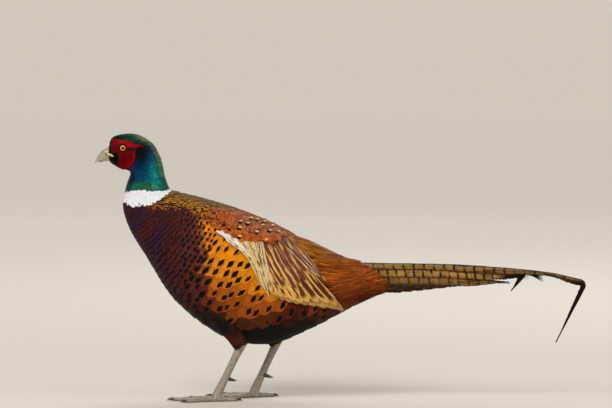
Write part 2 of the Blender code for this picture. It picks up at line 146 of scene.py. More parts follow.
# %% The body as a smooth surface
Slice = namedtuple("Slice", "top bottom half_width fullness square")
SLICES = {
    "bill_base": Slice((-290.5, 316.5), (-291.5, 300.5), 6.8, 0.00, 2.0),
    "brow": Slice((-284.5, 328.0), (-283.5, 294.5), 11.5, 0.00, 2.2),
    "eye": Slice((-271.5, 332.3), (-273.5, 289.0), 14.3, -0.04, 2.6),
    "hind_crown": Slice((-254.5, 331.8), (-263.5, 286.5), 15.6, 0.02, 2.4),
    "nape": Slice((-235.5, 321.0), (-262.5, 281.5), 16.8, 0.02, 2.1),
    "upper_neck": Slice((-225.0, 303.0), (-264.0, 277.0), 17.8, 0.00, 2.0),
    "mid_neck": Slice((-220.0, 282.0), (-266.5, 270.5), 20.0, 0.00, 2.0),
    "collar_top": Slice((-213.5, 264.5), (-269.0, 260.5), 24.0, 0.00, 2.0),
    "collar_foot": Slice((-208.5, 262.3), (-272.0, 243.5), 29.0, 0.04, 2.0),
    "shoulder": Slice((-190.5, 257.5), (-263.0, 214.0), 40.0, 0.06, 2.1),
    "breast": Slice((-169.0, 252.0), (-241.5, 178.0), 48.0, 0.06, 2.2),
    "keel": Slice((-130.5, 240.5), (-205.0, 123.0), 53.0, 0.08, 2.2),
    "belly": Slice((-86.5, 223.0), (-146.0, 79.0), 53.5, 0.08, 2.2),
    "hind_belly": Slice((-50.5, 204.5), (-88.0, 70.0), 49.0, 0.04, 2.2),
    "vent": Slice((-19.0, 189.5), (-35.0, 90.0), 40.0, 0.00, 2.1),
    "rump": Slice((7.0, 177.5), (5.0, 111.0), 30.0, 0.00, 2.1),
    "coverts": Slice((34.5, 171.8), (37.5, 127.5), 22.5, 0.00, 2.0),
    "covert_tips": Slice((60.0, 171.0), (62.5, 136.5), 16.5, 0.00, 2.0),
}
AT = {name: number for number, name in enumerate(SLICES)}
NUMBERS = np.array([[*s.top, *s.bottom, *s[2:]] for s in SLICES.values()])


def through(values, place):
    """The Catmull-Rom curve through rows of values, at an array of places counted in rows."""
    values, place = np.asarray(values, float), np.asarray(place, float)
    last = len(values) - 1
    start = np.clip(np.floor(place).astype(int), 0, last - 1)
    share = place - start
    if values.ndim > 1:
        share = share[..., None]
    a, b, c, d = (values[np.clip(start + step, 0, last)] for step in (-1, 0, 1, 2))
    bend = (2 * a - 5 * b + 4 * c - d) * share**2 + (3 * b - a - 3 * c + d) * share**3
    return 0.5 * (2 * b + (c - a) * share + bend)


def body(place, turn, rise=0.0):
    """Points of the body's surface in millimetres."""
    sizes = through(NUMBERS, place)
    top, bottom = sizes[..., 0:2], sizes[..., 2:4]
    half_width, fullness, square = np.moveaxis(sizes[..., 4:7], -1, 0)
    half = (top - bottom) / 2
    height = np.linalg.norm(half, axis=-1)
    level, side = np.cos(turn), np.sin(turn)
    reach = (np.abs(level) ** square + np.abs(side) ** square) ** (-1 / square)
    level, side = level * reach, side * reach
    swell = 1 - fullness * np.sign(level) * np.abs(level) ** (square / 2)
    spot = (top + bottom) / 2 + half / height[..., None] * (level * (height + rise))[..., None]
    return np.stack([spot[..., 0], side * swell * (half_width + rise), spot[..., 1]], axis=-1)


def unit(vectors):
    return vectors / np.maximum(np.linalg.norm(vectors, axis=-1, keepdims=True), 1e-9)


Surface = namedtuple("Surface", "at step ends")
BODY = Surface(body, 0.02, (0.02, 17.0))


def directions(surface, place, turn):
    """How a surface moves with place and with turn, and its outward normal."""
    at, step = surface.at, surface.step
    along = (at(place + step, turn) - at(place - step, turn)) / (2 * step)
    around = (at(place, turn + step) - at(place, turn - step)) / (2 * step)
    return along, around, unit(np.cross(along, around))


girth_turns = np.linspace(0, 2 * np.pi, 200)
for name in ("eye", "mid_neck", "keel", "rump"):
    ring = body(np.full(girth_turns.shape, AT[name]), girth_turns)
    print(f"girth at the {name}: {np.linalg.norm(np.diff(ring, axis=0), axis=1).sum():.0f} mm")

# %% [markdown]
# ## A drawing to mark out the plumage
# The markings are laid out on a drawing of the bird's left side, on squares of 1.25 mm, with x to the
# right and y down. drawn() finds where a point of the model falls on it. The eye looks down on the
# bird by 3 degrees, so what stands out to the side falls a little lower.

# %% From the model to the side drawing
SQUARE = 1.25
DRAWN_MIDDLE, DRAWN_FLOOR = 340.3, 400.0
EYE_LEVEL = math.radians(3)


def drawn(spots):
    """Where points fall on the drawing of the side that they are on."""
    height = spots[..., 2] - np.abs(spots[..., 1]) * math.tan(EYE_LEVEL)
    return spots[..., 0] / SQUARE + DRAWN_MIDDLE, DRAWN_FLOOR - height / SQUARE


def undrawn(x, y, stand_out=45.0):
    """Where a place on the drawing is on the model, as x and z, if it stands out that far."""
    height = (DRAWN_FLOOR - np.asarray(y, float)) * SQUARE + stand_out * math.tan(EYE_LEVEL)
    return (np.asarray(x, float) - DRAWN_MIDDLE) * SQUARE, height


def under(view, line, soft):
    """1 below a line on the drawing, 0 above it, with a fade of that many squares."""
    xs, ys = zip(*line)
    return ease(-soft, soft, view[1] - np.interp(view[0], xs, ys))


def right_of(view, line, soft):
    """1 right of a line that runs down the drawing, 0 left of it."""
    xs, ys = zip(*line)
    return ease(-soft, soft, view[0] - np.interp(view[1], ys, xs))


def glow(view, centre, size):
    """A soft round or oval patch: 1 at its centre, fading over its half-width and half-height."""
    far = ((view[0] - centre[0]) / size[0]) ** 2 + ((view[1] - centre[1]) / size[1]) ** 2
    return np.exp(-far)


def inside(view, outline):
    """True where points of the drawing are inside an outline."""
    x, y = np.asarray(view[0]), np.asarray(view[1])
    odd = np.zeros(x.shape, bool)
    for (x0, y0), (x1, y1) in zip(outline, outline[1:] + outline[:1]):
        crosses = (y0 > y) != (y1 > y)
        odd ^= crosses & (x < (x1 - x0) * (y - y0) / (y1 - y0 + 1e-12) + x0)
    return odd

# %% [markdown]
# ## How one feather is made
# A contour feather is a thin curved blade: a root that nobody sees, a vane that widens, and a rounded
# tip. It is made here as a grid of points that is arched across, closed underneath by one strip, so
# that it is a true thin solid. A shape says where the grid's rows and columns are and how wide it is
# at each row. Rows crowd towards the tip, because that is all that shows under the feather in front.

# %% Feather shapes
Shape = namedtuple("Shape", "rows columns half")
TIP_CROWDING = 1.55  # 1 would space the rows evenly


def feather_shape(rows, columns, widest, tip, stem=0.35, blunt=0.05):
    """widest is where along the feather it is widest. tip is 2 for a round tip, 1.2 for a pointed
    one. stem and blunt are its widths at the two ends."""
    steps = 1 - (1 - np.linspace(0, 1, rows)) ** TIP_CROWDING
    before = stem + (1 - stem) * np.sin(np.clip(steps / widest, 0, 1) * np.pi / 2)
    past = np.clip((steps - widest) / (1 - widest), 0, 1)
    after = np.maximum(1 - past ** tip, 0) ** (1 / tip if tip >= 2 else 1)
    half = np.maximum(np.where(steps < widest, before, after), blunt)
    return Shape(steps, np.linspace(-1, 1, columns), half)


SHAPES = {
    "round": feather_shape(9, 5, 0.62, 2.2),
    "large": feather_shape(16, 9, 0.62, 2.2),
    "scale": feather_shape(9, 5, 0.62, 2.0),
    "quill": feather_shape(26, 9, 0.80, 2.2, stem=0.5),
    "blade": feather_shape(26, 9, 0.62, 1.8, stem=0.5),
    "small": feather_shape(6, 3, 0.60, 2.0),
    "lance": feather_shape(9, 5, 0.50, 1.7),
    "strand": feather_shape(9, 3, 0.35, 1.6, stem=0.5),
}

# %% [markdown]
# ## Growing feathers on a surface
# Each feather walks over the surface from its root, a little at a time, in the lie of the coat, so it
# bends with the body. Its root starts deep in the coat and its tip ends at the coat's outside, so that
# each feather lies on the ones behind it, as tiles do. The vane map keeps how far across and along
# each point is, and the markings are drawn by that. Its whole number is the feather's own, so that no
# two are streaked alike. The OFBake map gives each feather a patch of its own at its root's place on
# the unwrapped skin, as large as its neighbours leave room for.

# %% Roots in rings, and feathers grown from them
Roots = namedtuple("Roots", "place turn place_step turn_step")
Growth = namedtuple("Growth", "points vane patch spots")
VANE_HALF = 0.38  # of the vane map's width, from the stem to the vane's edge
OWN_NUMBERS = 97  # how many feathers there are before the streaks repeat
COLOUR_AT = 0.6  # where along its rows a feather's colour is looked up


def ring_roots(surface, start, end, spacing, around, chance, side=np.pi / 2):
    """Staggered rings of roots. spacing is from ring to ring at the side, at the start and the end."""
    rows, place, row = [], start, 0
    turn_step = 2 * np.pi / around
    while place < end:
        gap = spacing[0] + (spacing[1] - spacing[0]) * (place - start) / (end - start)
        speed = np.linalg.norm(directions(surface, np.array([place]), np.array([side]))[0])
        step = gap / speed
        turns = (np.arange(around) + 0.5 * (row % 2)) * turn_step
        rows.append(np.stack([np.full(around, place), turns, np.full(around, step)]))
        place += step
        row += 1
    place, turn, step = np.concatenate(rows, axis=1)
    place = place + chance.uniform(-0.10, 0.10, place.size) * step
    turn = turn + chance.uniform(-0.08, 0.08, turn.size) * turn_step
    return Roots(place, turn, step, np.full(place.size, turn_step))


def chosen(roots, keep):
    return Roots(*(values[keep] for values in roots))


def room(surface, roots):
    """The spacing of roots in millimetres, from ring to ring and from neighbour to neighbour."""
    along, around, _ = directions(surface, roots.place, roots.turn)
    step = np.linalg.norm(along, axis=-1) * roots.place_step
    return step, np.linalg.norm(around, axis=-1) * roots.turn_step


def rates(along, around, wanted):
    """How fast place and turn change for each millimetre moved in a wanted direction."""
    aa, bb, ab = (along * along).sum(-1), (around * around).sum(-1), (along * around).sum(-1)
    pa, pb = (along * wanted).sum(-1), (around * wanted).sum(-1)
    spread = np.maximum(aa * bb - ab * ab, 1e-9)
    return (bb * pa - ab * pb) / spread, (aa * pb - ab * pa) / spread


def walk(surface, roots, rows, length, angle):
    """Centre lines over the surface: each feather's place and turn at each of its rows. angle is
    turned from along the body."""
    places, turns = [roots.place], [roots.turn]
    way = angle[:, None]
    for step in np.diff(rows):
        along, around, normal = directions(surface, places[-1], turns[-1])
        ahead = unit(along)
        across = np.cross(normal, ahead)
        place_rate, turn_rate = rates(along, around, ahead * np.cos(way) + across * np.sin(way))
        places.append(np.clip(places[-1] + place_rate * length * step, *surface.ends))
        turns.append(turns[-1] + turn_rate * length * step)
    return np.stack(places, 1), np.stack(turns, 1)


def each(values, count):
    """One value for each feather, from one for all of them or from an array."""
    return np.broadcast_to(np.asarray(values, float), (count,))


def vanes(surface, places, turns, roots, shape, width, depth, chance, lift=0.3, arch=0.5, lean=0.0,
          rise=0.0, ragged=0.06):
    """Feathers round centre lines. They start depth below the surface and end lift above it. rise
    moves the whole layer out, and lean raises one edge over the next feather's."""
    count, rows, columns = len(places), shape.rows[:, None], shape.columns
    width, depth, lift, rise = (
        each(values, count)[:, None, None] for values in (width, depth, lift, rise))
    ahead = unit(np.gradient(surface.at(places, turns), axis=1))
    along, around, normal = directions(surface, places, turns)
    place_rate, turn_rate = rates(along, around, unit(np.cross(normal, ahead)))
    half = shape.half[:, None]
    rough = 1 + chance.uniform(-ragged, ragged, (count, shape.rows.size, columns.size)) * np.abs(columns)
    reach = columns * half * rough
    grid_place = np.clip(places[..., None] + place_rate[..., None] * reach * width / 2, *surface.ends)
    grid_turn = turns[..., None] + turn_rate[..., None] * reach * width / 2
    height = rise - depth * (1 - rows) + (lift + chance.normal(0, 0.12, (count, 1, 1))) * rows
    height = height + arch * (1 - columns**2) * half * (1 - 0.5 * rows**4) + lean * reach
    normal = directions(surface, grid_place, grid_turn)[2]
    points = surface.at(grid_place, grid_turn) + normal * height[..., None]
    number = (np.arange(count) % OWN_NUMBERS)[:, None, None]
    vane = np.stack([number + 0.5 + reach * VANE_HALF, np.broadcast_to(rows, reach.shape)], -1)
    patch = np.stack([roots.turn, roots.place, roots.turn_step, roots.place_step], -1)
    return Growth(points, vane, patch, points[:, int(shape.rows.size * COLOUR_AT), columns.size // 2])


def grow(surface, roots, shape, length, width, depth, chance, angle=0.0, **more):
    """Feathers from roots, with small differences in length and lie."""
    shape, count = SHAPES[shape], roots.place.size
    angle = each(angle, count) + chance.normal(0, 0.06, count)
    length = each(length, count) * chance.uniform(0.94, 1.06, count)
    places, turns = walk(surface, roots, shape.rows, length, angle)
    return vanes(surface, places, turns, roots, shape, width, depth, chance, **more)


def mirrored(growth):
    """The same feathers on the other side of the bird."""
    points = growth.points[:, :, ::-1] * (1, -1, 1)
    return Growth(points, growth.vane[:, :, ::-1], growth.patch, growth.spots * (1, -1, 1))

# %% [markdown]
# ## From feathers to a mesh
# All the feathers of one tract become one mesh, which is how a great many small things stay light. The
# faces of one feather are worked out once and repeated. Colours and the strengths of the markings are
# kept on the points, so one material can clothe the whole bird.

# %% Make a mesh from arrays
def keep_colours(mesh, name, values):
    """Keeps a colour, or any three or four numbers, on each of a mesh's points."""
    if values.shape[-1] == 3:
        values = np.concatenate([values, np.ones((len(values), 1))], axis=1)
    mesh.attributes.new(name, "FLOAT_COLOR", "POINT").data.foreach_set("color", values.ravel())


def count_triangles(mesh):
    return sum(len(face.vertices) - 2 for face in mesh.polygons)


def new_mesh(name, points, face_groups, material, uv_maps=None, colours=None, sharp=50):
    """A mesh object from points in millimetres. face_groups are arrays of faces, each group with its
    own number of corners. uv_maps and colours map a name to one value for each point."""
    mesh = bpy.data.meshes.new(name)
    loops = np.concatenate([group.ravel() for group in face_groups])
    sizes = np.concatenate([np.full(len(group), group.shape[1]) for group in face_groups])
    mesh.vertices.add(len(points))
    mesh.vertices.foreach_set("co", (np.asarray(points, float) * MM).ravel())
    mesh.loops.add(len(loops))
    mesh.loops.foreach_set("vertex_index", loops)
    mesh.polygons.add(len(sizes))
    mesh.polygons.foreach_set("loop_start", np.concatenate([[0], np.cumsum(sizes)[:-1]]))
    mesh.update(calc_edges=True)
    for map_name, values in (uv_maps or {}).items():
        mesh.uv_layers.new(name=map_name).data.foreach_set("uv", values[loops].ravel())
    for colour_name, values in (colours or {}).items():
        keep_colours(mesh, colour_name, values)
    mesh.materials.append(material)
    mesh.shade_smooth()
    mesh.set_sharp_from_angle(angle=math.radians(sharp))
    obj = bpy.data.objects.new(name, mesh)
    bpy.context.scene.collection.objects.link(obj)
    return obj


def grid_faces(grid):
    """The faces between the rows and columns of a grid of points."""
    return np.stack([grid[:-1, :-1], grid[1:, :-1], grid[1:, 1:], grid[:-1, 1:]], -1).reshape(-1, 4)


def ring_faces(rings, around):
    """The faces between closed rings of points."""
    first = np.arange((rings - 1) * around).reshape(rings - 1, around)
    after = np.roll(first, -1, axis=1)
    return np.stack([first, after, after + around, first + around], -1).reshape(-1, 4)


def vane_faces(rows, columns):
    """The faces of one feather: its arched top, the strip under it and its two ends."""
    grid = np.arange(rows * columns).reshape(rows, columns)
    strip = np.stack([grid[:-1, 0], grid[:-1, -1], grid[1:, -1], grid[1:, 0]], -1)
    return [np.concatenate([grid_faces(grid), strip]), np.stack([grid[0], grid[-1, ::-1]])]


def repeated(faces, count, points_each, first):
    """The same faces for each feather, counted on from a first point."""
    starts = first + np.arange(count)[:, None, None] * points_each
    return (faces + starts).reshape(-1, faces.shape[1])


UNWRAP_SIZE, UNWRAP_EDGE = 0.94, 0.03  # of the whole map


def bake_map(growth, low, high):
    """Each feather's patch on the unwrap: its root's place there, with its own vane inside it."""
    turn, place, turn_step, place_step = (growth.patch[:, index][:, None, None] for index in range(4))
    span_turn, span_place = np.maximum(high - low, 1e-6)
    across = (growth.vane[..., 0] % 1 - 0.5) * turn_step / span_turn
    along = (growth.vane[..., 1] ** 2 - 0.5) * 0.86 * place_step / span_place
    spot = np.stack([(turn - low[0]) / span_turn + across, (place - low[1]) / span_place + along], -1)
    return spot * UNWRAP_SIZE + UNWRAP_EDGE


def feather_piece(name, growths, paints, material, replaced=()):
    """One mesh from several growths, each with its paint: ground, mark and marks for each feather."""
    patches = np.concatenate([growth.patch for growth in growths])
    low = (patches[:, :2] - patches[:, 2:] / 2).min(0)
    high = (patches[:, :2] + patches[:, 2:] / 2).max(0)
    points, vanes, bakes, grounds, marks, strengths, faces = [], [], [], [], [], [], {}
    first = 0
    for growth, paint in zip(growths, paints):
        count, rows, columns = growth.points.shape[:3]
        for group in vane_faces(rows, columns):
            faces.setdefault(group.shape[1], []).append(repeated(group, count, rows * columns, first))
        first += count * rows * columns
        points.append(growth.points.reshape(-1, 3))
        vanes.append(growth.vane.reshape(-1, 2))
        bakes.append(bake_map(growth, low, high).reshape(-1, 2))
        for kept, values in ((grounds, paint[0]), (marks, paint[1]), (strengths, paint[2])):
            kept.append(np.repeat(values, rows * columns, axis=0))
    made = new_mesh(
        name, np.concatenate(points), [np.concatenate(groups) for groups in faces.values()], material,
        {"OFBake": np.concatenate(bakes), "vane": np.concatenate(vanes)},
        {"ground": np.concatenate(grounds), "mark": np.concatenate(marks),
         "marks": np.concatenate(strengths)})
    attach(made, "root")
    if replaced:
        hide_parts(*replaced)
    count = sum(len(growth.points) for growth in growths)
    print(f"{name}: {count} feathers, {count_triangles(made.data)} triangles")

# %% [markdown]
# ## Feather keratin
# A feather is keratin. Its colour is partly pigment and partly, on a pheasant's neck and breast, thin
# layers that shine like metal. What the eye gets is a soft satin with fine slanting barbs, a darker
# stem, and crisp markings that follow the vane: a dark rim, a diamond near the tip, a streak down the
# middle, or bars. The markings are drawn on the vane map, each as strong as the feather's marks say:
# red for the diamond, green for the rim, blue for the streak and alpha for the bars. Real barbs are
# 0.3 mm apart. On the larger feathers they are drawn two to four times as coarse, so that they show,
# and on the loose rump they are only a soft change of shade.

# %% The feather material
KERATIN_IOR = 1.55
BARB_DEPTH = 0.00015  # in metres
TAIL_BARS = 7.9  # in 100 mm
FLECKS = 900.0  # in a metre
DIAMOND_AT = 0.89  # of the way along the vane
DIAMOND_LENGTH, DIAMOND_WIDTH = 1 / 17.5, 1 / 3  # of a diamond of strength 1, from its middle
LOZENGE = 0.75  # 0 would draw it as a square


def feather_material(name, barbs, contrast, roughness=0.55, metallic=0.0, sheen=0.0,
                     streak_cells=(5.0, 3.0), lens=0.6, bars=9.0, bar_edge=(0.35, 0.75), slant=0.22,
                     bump=0.35, gloss=0.05):
    """A vane with slanting barbs, a stem and four kinds of marking. barbs are how many are drawn along
    it, streak_cells are how many patches of streak there are across and along it, and lens is how
    much they keep to its middle."""
    material, tree, shader = new_material(name, {
        "Roughness": roughness, "Metallic": metallic, "IOR": KERATIN_IOR, "Specular IOR Level": gloss,
        "Sheen Weight": sheen, "Sheen Roughness": 0.4})
    ground = add(tree, "Attribute", attribute_name="ground")
    mark = add(tree, "Attribute", attribute_name="mark")
    marks = add(tree, "Attribute", attribute_name="marks")
    strength = add(tree, "SeparateColor", {0: marks}).outputs
    vane_map = add(tree, "UVMap", uv_map="vane")
    vane = add(tree, "SeparateXYZ", {0: vane_map})
    own = add(tree, "Math", {0: vane}, "FRACT")
    across = add(tree, "Math", {0: own, 1: 1 / VANE_HALF, 2: -0.5 / VANE_HALF}, "MULTIPLY_ADD")
    side = add(tree, "Math", {0: across}, "ABSOLUTE")
    along = vane.outputs[1]
    position = add(tree, "TexCoord").outputs["Object"]
    rough = add(tree, "TexNoise", {"Vector": position, "Scale": FLECKS, "Detail": 3.0})

    # The barbs slant from the stem, and flecks jog them.
    slanted = add(tree, "Math", {0: side, 1: -slant, 2: along}, "MULTIPLY_ADD")
    jitter = add(tree, "Math", {0: rough, 1: 0.035, 2: slanted}, "MULTIPLY_ADD")
    wave = add(tree, "Math", {0: jitter, 1: barbs * 2 * math.pi}, "MULTIPLY")
    wave = add(tree, "Math", {0: wave}, "SINE")
    stem = add(tree, "MapRange", {0: side, 1: 0.02, 2: 0.07, 3: 1.0, 4: 0.0})

    # The rim starts at a distance from the vane's middle, which a stronger one brings nearer.
    past = add(tree, "MapRange", {0: along, 1: 0.62, 2: 1.0})
    part_side = add(tree, "Math", {0: side, 1: 0.72}, "MULTIPLY")
    corner = add(tree, "CombineXYZ", {0: part_side, 1: past})
    far = add(tree, "VectorMath", {0: corner}, "LENGTH").outputs["Value"]
    far = add(tree, "Math", {0: rough, 1: 0.16, 2: far}, "MULTIPLY_ADD")
    rim_from = add(tree, "Math", {0: strength[1], 1: -0.5, 2: 1.08}, "MULTIPLY_ADD")
    rim_to = add(tree, "Math", {0: rim_from, 1: 0.12}, "ADD")
    rim = add(tree, "MapRange", {0: far, 1: rim_from, 2: rim_to})
    rim_on = add(tree, "MapRange", {0: strength[1], 1: 0.0, 2: 0.1})
    rim = add(tree, "Math", {0: rim, 1: rim_on}, "MULTIPLY")

    # The diamond lies on the stem near the tip, between a square and a lozenge.
    from_tip = add(tree, "Math", {0: across, 1: 0.03, 2: along}, "MULTIPLY_ADD")
    from_tip = add(tree, "Math", {0: from_tip, 1: -DIAMOND_AT}, "ADD")
    from_tip = add(tree, "Math", {0: from_tip}, "ABSOLUTE")
    from_tip = add(tree, "Math", {0: from_tip, 1: 1 / DIAMOND_LENGTH}, "MULTIPLY")
    from_stem = add(tree, "Math", {0: side, 1: 1 / DIAMOND_WIDTH}, "MULTIPLY")
    square = add(tree, "Math", {0: from_tip, 1: from_stem}, "MAXIMUM")
    lozenge = add(tree, "Math", {0: from_tip, 1: from_stem}, "ADD")
    lozenge = add(tree, "Math", {0: rough, 1: 0.8, 2: lozenge}, "MULTIPLY_ADD")
    diamond = add(tree, "Mix", {0: LOZENGE, 2: square, 3: lozenge})
    diamond = add(tree, "Math", {0: diamond, 1: strength[0]}, "SUBTRACT")
    diamond = add(tree, "MapRange", {0: diamond, 1: 0.12, 2: 0.0})
    diamond_on = add(tree, "MapRange", {0: strength[0], 1: 0.0, 2: 0.2})
    diamond = add(tree, "Math", {0: diamond, 1: diamond_on}, "MULTIPLY")

    # The streak is patches, held to the vane's middle and kept off its very tip.
    drawn_out = add(tree, "Mapping", {0: vane_map, 3: (*streak_cells, 1.0)})
    patches = add(tree, "TexNoise", {"Vector": drawn_out, "Scale": 1.0, "Detail": 2.5})
    off_middle = add(tree, "Math", {0: side, 1: side}, "MULTIPLY")
    off_middle = add(tree, "Math", {0: off_middle, 1: -lens}, "MULTIPLY")
    streak = add(tree, "Math", {0: patches, 1: 1.6, 2: off_middle}, "MULTIPLY_ADD")
    streak = add(tree, "Math", {0: strength[2], 1: 0.8, 2: streak}, "MULTIPLY_ADD")
    streak = add(tree, "MapRange", {0: streak, 1: 1.16, 2: 1.26})
    streak_on = add(tree, "MapRange", {0: strength[2], 1: 0.0, 2: 0.1})
    ends = add(tree, "MapRange", {0: along, 1: 0.93, 2: 0.86})
    streak = add(tree, "Math", {0: streak, 1: ends}, "MULTIPLY")
    streak = add(tree, "Math", {0: streak, 1: streak_on}, "MULTIPLY")

    # The bars are a wave along the vane, cut off sharply.
    bar = add(tree, "Math", {0: jitter, 1: bars * 2 * math.pi}, "MULTIPLY")
    bar = add(tree, "Math", {0: bar}, "SINE")
    bar = add(tree, "MapRange", {0: bar, 1: bar_edge[0], 2: bar_edge[1]})
    bar = add(tree, "Math", {0: bar, 1: marks.outputs["Alpha"]}, "MULTIPLY")

    # The marks lie over the ground, and barbs, stem and flecks shade both.
    marked = rim
    for other in (diamond, streak, bar):
        marked = add(tree, "Math", {0: marked, 1: other}, "MAXIMUM")
    colour = add(tree, "Mix", {0: marked, 6: ground, 7: mark}, data_type="RGBA").outputs[2]
    shade = add(tree, "MapRange", {0: wave, 1: -1.0, 2: 1.0, 3: 1.0 - contrast, 4: 1.0})
    stemmed = add(tree, "Math", {0: stem, 1: -0.25, 2: shade}, "MULTIPLY_ADD")
    fleck = add(tree, "MapRange", {0: rough, 1: 0.3, 2: 0.7, 3: 0.72, 4: 1.2})
    stemmed = add(tree, "Math", {0: stemmed, 1: fleck}, "MULTIPLY")
    tinted = add(tree, "VectorMath", {0: colour, 3: stemmed}, "SCALE")
    relief = add(tree, "Bump", {"Height": wave, "Strength": bump, "Distance": BARB_DEPTH})
    tree.links.new(tinted.outputs[0], shader.inputs["Base Color"])
    tree.links.new(relief.outputs[0], shader.inputs["Normal"])
    return material

# %% One finish for each kind of feather
PLUMAGE = {
    "contour": feather_material("satin_feather_keratin", 38, 0.3, bump=0.3),
    "mantle": feather_material("streaked_mantle_feather", 20, 0.4, streak_cells=(3.0, 1.4), lens=2.2),
    "shoulder": feather_material("flecked_shoulder_feather", 20, 0.4, streak_cells=(9.0, 2.6), lens=0.2),
    "sheen": feather_material("iridescent_feather_keratin", 14, 0.34, roughness=0.34, metallic=0.8,
                              bump=0.5, gloss=0.12),
    "white": feather_material("white_feather_keratin", 14, 0.16, roughness=0.7, sheen=0.1),
    "loose": feather_material("loose_barbed_feather", 9, 0.25),
    "flight": feather_material("flight_feather_vane", 60, 0.28, roughness=0.5, streak_cells=(5.5, 3.2)),
    "tail": feather_material("stiff_tail_vane", 170, 0.22, roughness=0.5, bars=TAIL_BARS,
                             bar_edge=(0.62, 0.85), slant=0.02),
}
print("feather materials:", len(PLUMAGE))

# %% [markdown]
# ## The pheasant's colours
# A cock's dark head is green on the crown, blue on the throat and green-gold behind the neck, where a rim of
# light is painted on as well. The breast is coppery maroon, scaled with black, and turns to orange with
# black diamonds on the flanks.
# The upper back is gold with black streaks, the shoulders chestnut, and the rump rust, with a painted golden
# and greenish sheen on its upper part.

# %% Colours of the plumage
def mixed(chart):
    """A chart of sRGB codes as linear colours."""
    return {name: linear(code) for name, code in chart.items()}


INK = mixed({
    "black": "#0B090B", "soot": "#17120F", "crown_green": "#0E4A3C", "bronze": "#6B6442",
    "ear_black": "#06100F", "throat_indigo": "#131444", "neck_blue": "#074F84", "neck_teal": "#0A8589",
    "neck_green": "#0F8B56", "gold_green_glint": "#5F7F22", "white": "#E9EAEE", "gold": "#D8921A",
    "olive": "#94661E", "maroon": "#471914", "purple": "#35182D", "copper": "#63280D",
    "orange": "#E08404", "rust": "#B2540C", "chestnut": "#BC5E28", "plum": "#AA623A",
    "nape_rim_highlight": "#B9B878", "cream": "#F3EBD6", "buff": "#DCAA55", "sand": "#E2C78F", "streak": "#6E3A30",
    "silver": "#D9DADF", "gold_buff": "#D2A052", "umber": "#5E2C20", "rump_gold_sheen": "#B87822",
    "rump_rust": "#9C4A14", "rump_dark": "#571F10", "moss_sheen": "#6E5F20", "drab": "#7A5B38",
    "tail_tan": "#9A763A", "tail_ochre": "#A07434", "tail_rufous": "#7C4522", "tail_dark": "#3A2B1E",
    "tail_black": "#0E0B0B",
})


def plain(count, name):
    return np.broadcast_to(INK[name], (count, 3)).copy()


def glowing(colours, view, chart, rows):
    """Colours with soft patches over them, one by one: ink, centre, size and strength."""
    for name, centre, size, strength in rows:
        colours = toward(colours, chart[name], glow(view, centre, size) * strength)
    return colours


def strengths(count, diamond=0.0, rim=0.0, streak=0.0, bars=0.0):
    """How strongly each feather wears each marking."""
    return np.stack([np.broadcast_to(value, (count,)) for value in (diamond, rim, streak, bars)], -1)


def varied(colours, spots, chance, amount=0.16, size=18.0):
    """Colours made a little lighter or darker, in drifts and from feather to feather."""
    drift = 1 + amount * cloud(spots, size) + chance.normal(0, amount * 0.45, len(spots))
    return np.clip(colours * drift[:, None], 0, 1)

# %% Lines on the drawing, between one part of the plumage and the next
COLLAR_TOP = [(118, 193.0), (130, 192.6), (145, 191.6), (160, 192.0), (166, 191.0), (173, 189)]
COLLAR_FOOT = [(116, 200), (123, 203.5), (128, 206), (135, 207.5), (142, 207), (153, 205), (161, 200),
               (165, 196.5), (170, 193), (173, 189.5)]
GOLD_FOOT = [(120, 190), (150, 205), (158, 209.5), (172, 209.5), (186, 210), (194, 214), (206, 217),
             (214, 216), (230, 213), (260, 220)]
OLIVE_FOOT = [(150, 186), (168, 192), (180, 197), (196, 201.5), (212, 207), (240, 214)]
FLANK_FRONT = [(206, 200), (203, 222), (206, 240), (208, 262), (208, 285), (216, 305), (240, 330)]
BELLY_TOP = [(120, 262), (150, 276), (166, 286), (184, 300), (204, 308), (226, 314), (245, 320),
             (300, 316), (350, 318)]
CHESTNUT_FRONT = [(262, 196), (256, 206), (240, 209), (222, 212), (210, 216), (209, 220), (214, 226),
                  (222, 236), (240, 260)]
RUMP_FRONT = [(284, 200), (286, 232), (300, 252), (318, 276), (334, 300), (352, 330)]
VENT_TOP = [(264, 330), (274, 316), (284, 304), (345, 306)]
WING_FRONT = [(196, 214), (214, 226), (222, 232), (230, 235), (236, 239), (241, 243), (248, 242),
              (256, 243.5), (262, 241), (268, 245), (276, 240), (284, 240), (300, 250)]
SHOULDER_LOW = [(200, 226), (222, 226), (236, 231), (258, 235), (272, 234), (284, 236)]

# %% Colours of the neck and the collar
NECK_GLOWS = [
    ("neck_blue", (141, 176), (10, 11), 1.0),
    ("neck_blue", (153.5, 161), (5, 13), 0.7),
    ("throat_indigo", (129, 178), (6, 14), 0.9),
    ("neck_teal", (157, 178), (9, 15), 1.0),
    ("neck_teal", (145, 190), (26, 6), 0.7),
    ("neck_green", (159, 162), (4, 12), 0.7),
    ("neck_green", (146, 187), (14, 5), 0.7),
    # Partly the lower neck's own gold-green and partly painted glints.
    ("gold_green_glint", (148, 187.5), (11, 3.2), 0.42),
    # Painted rim light: a gold-green highlight at the back of the nape.
    ("gold_green_glint", (160, 157), (3, 8), 0.6),
    ("crown_green", (133, 139), (16, 6), 0.95),
    ("bronze", (146, 138), (8, 4), 0.6),
]


def paint_neck(spots, chance):
    """The dark head and neck, from near black at the ear to blue, teal and green, with gold-green that is
    partly painted glint and rim light.
    """
    view = drawn(spots)
    colours = glowing(plain(len(spots), "ear_black"), view, INK, NECK_GLOWS)
    colours = varied(colours, spots, chance, 0.34, 5.0)
    return colours, plain(len(spots), "black"), strengths(len(spots), rim=0.45)


def paint_collar(spots, chance):
    colours = varied(plain(len(spots), "white"), spots, chance, 0.05)
    return colours, plain(len(spots), "silver"), strengths(len(spots))

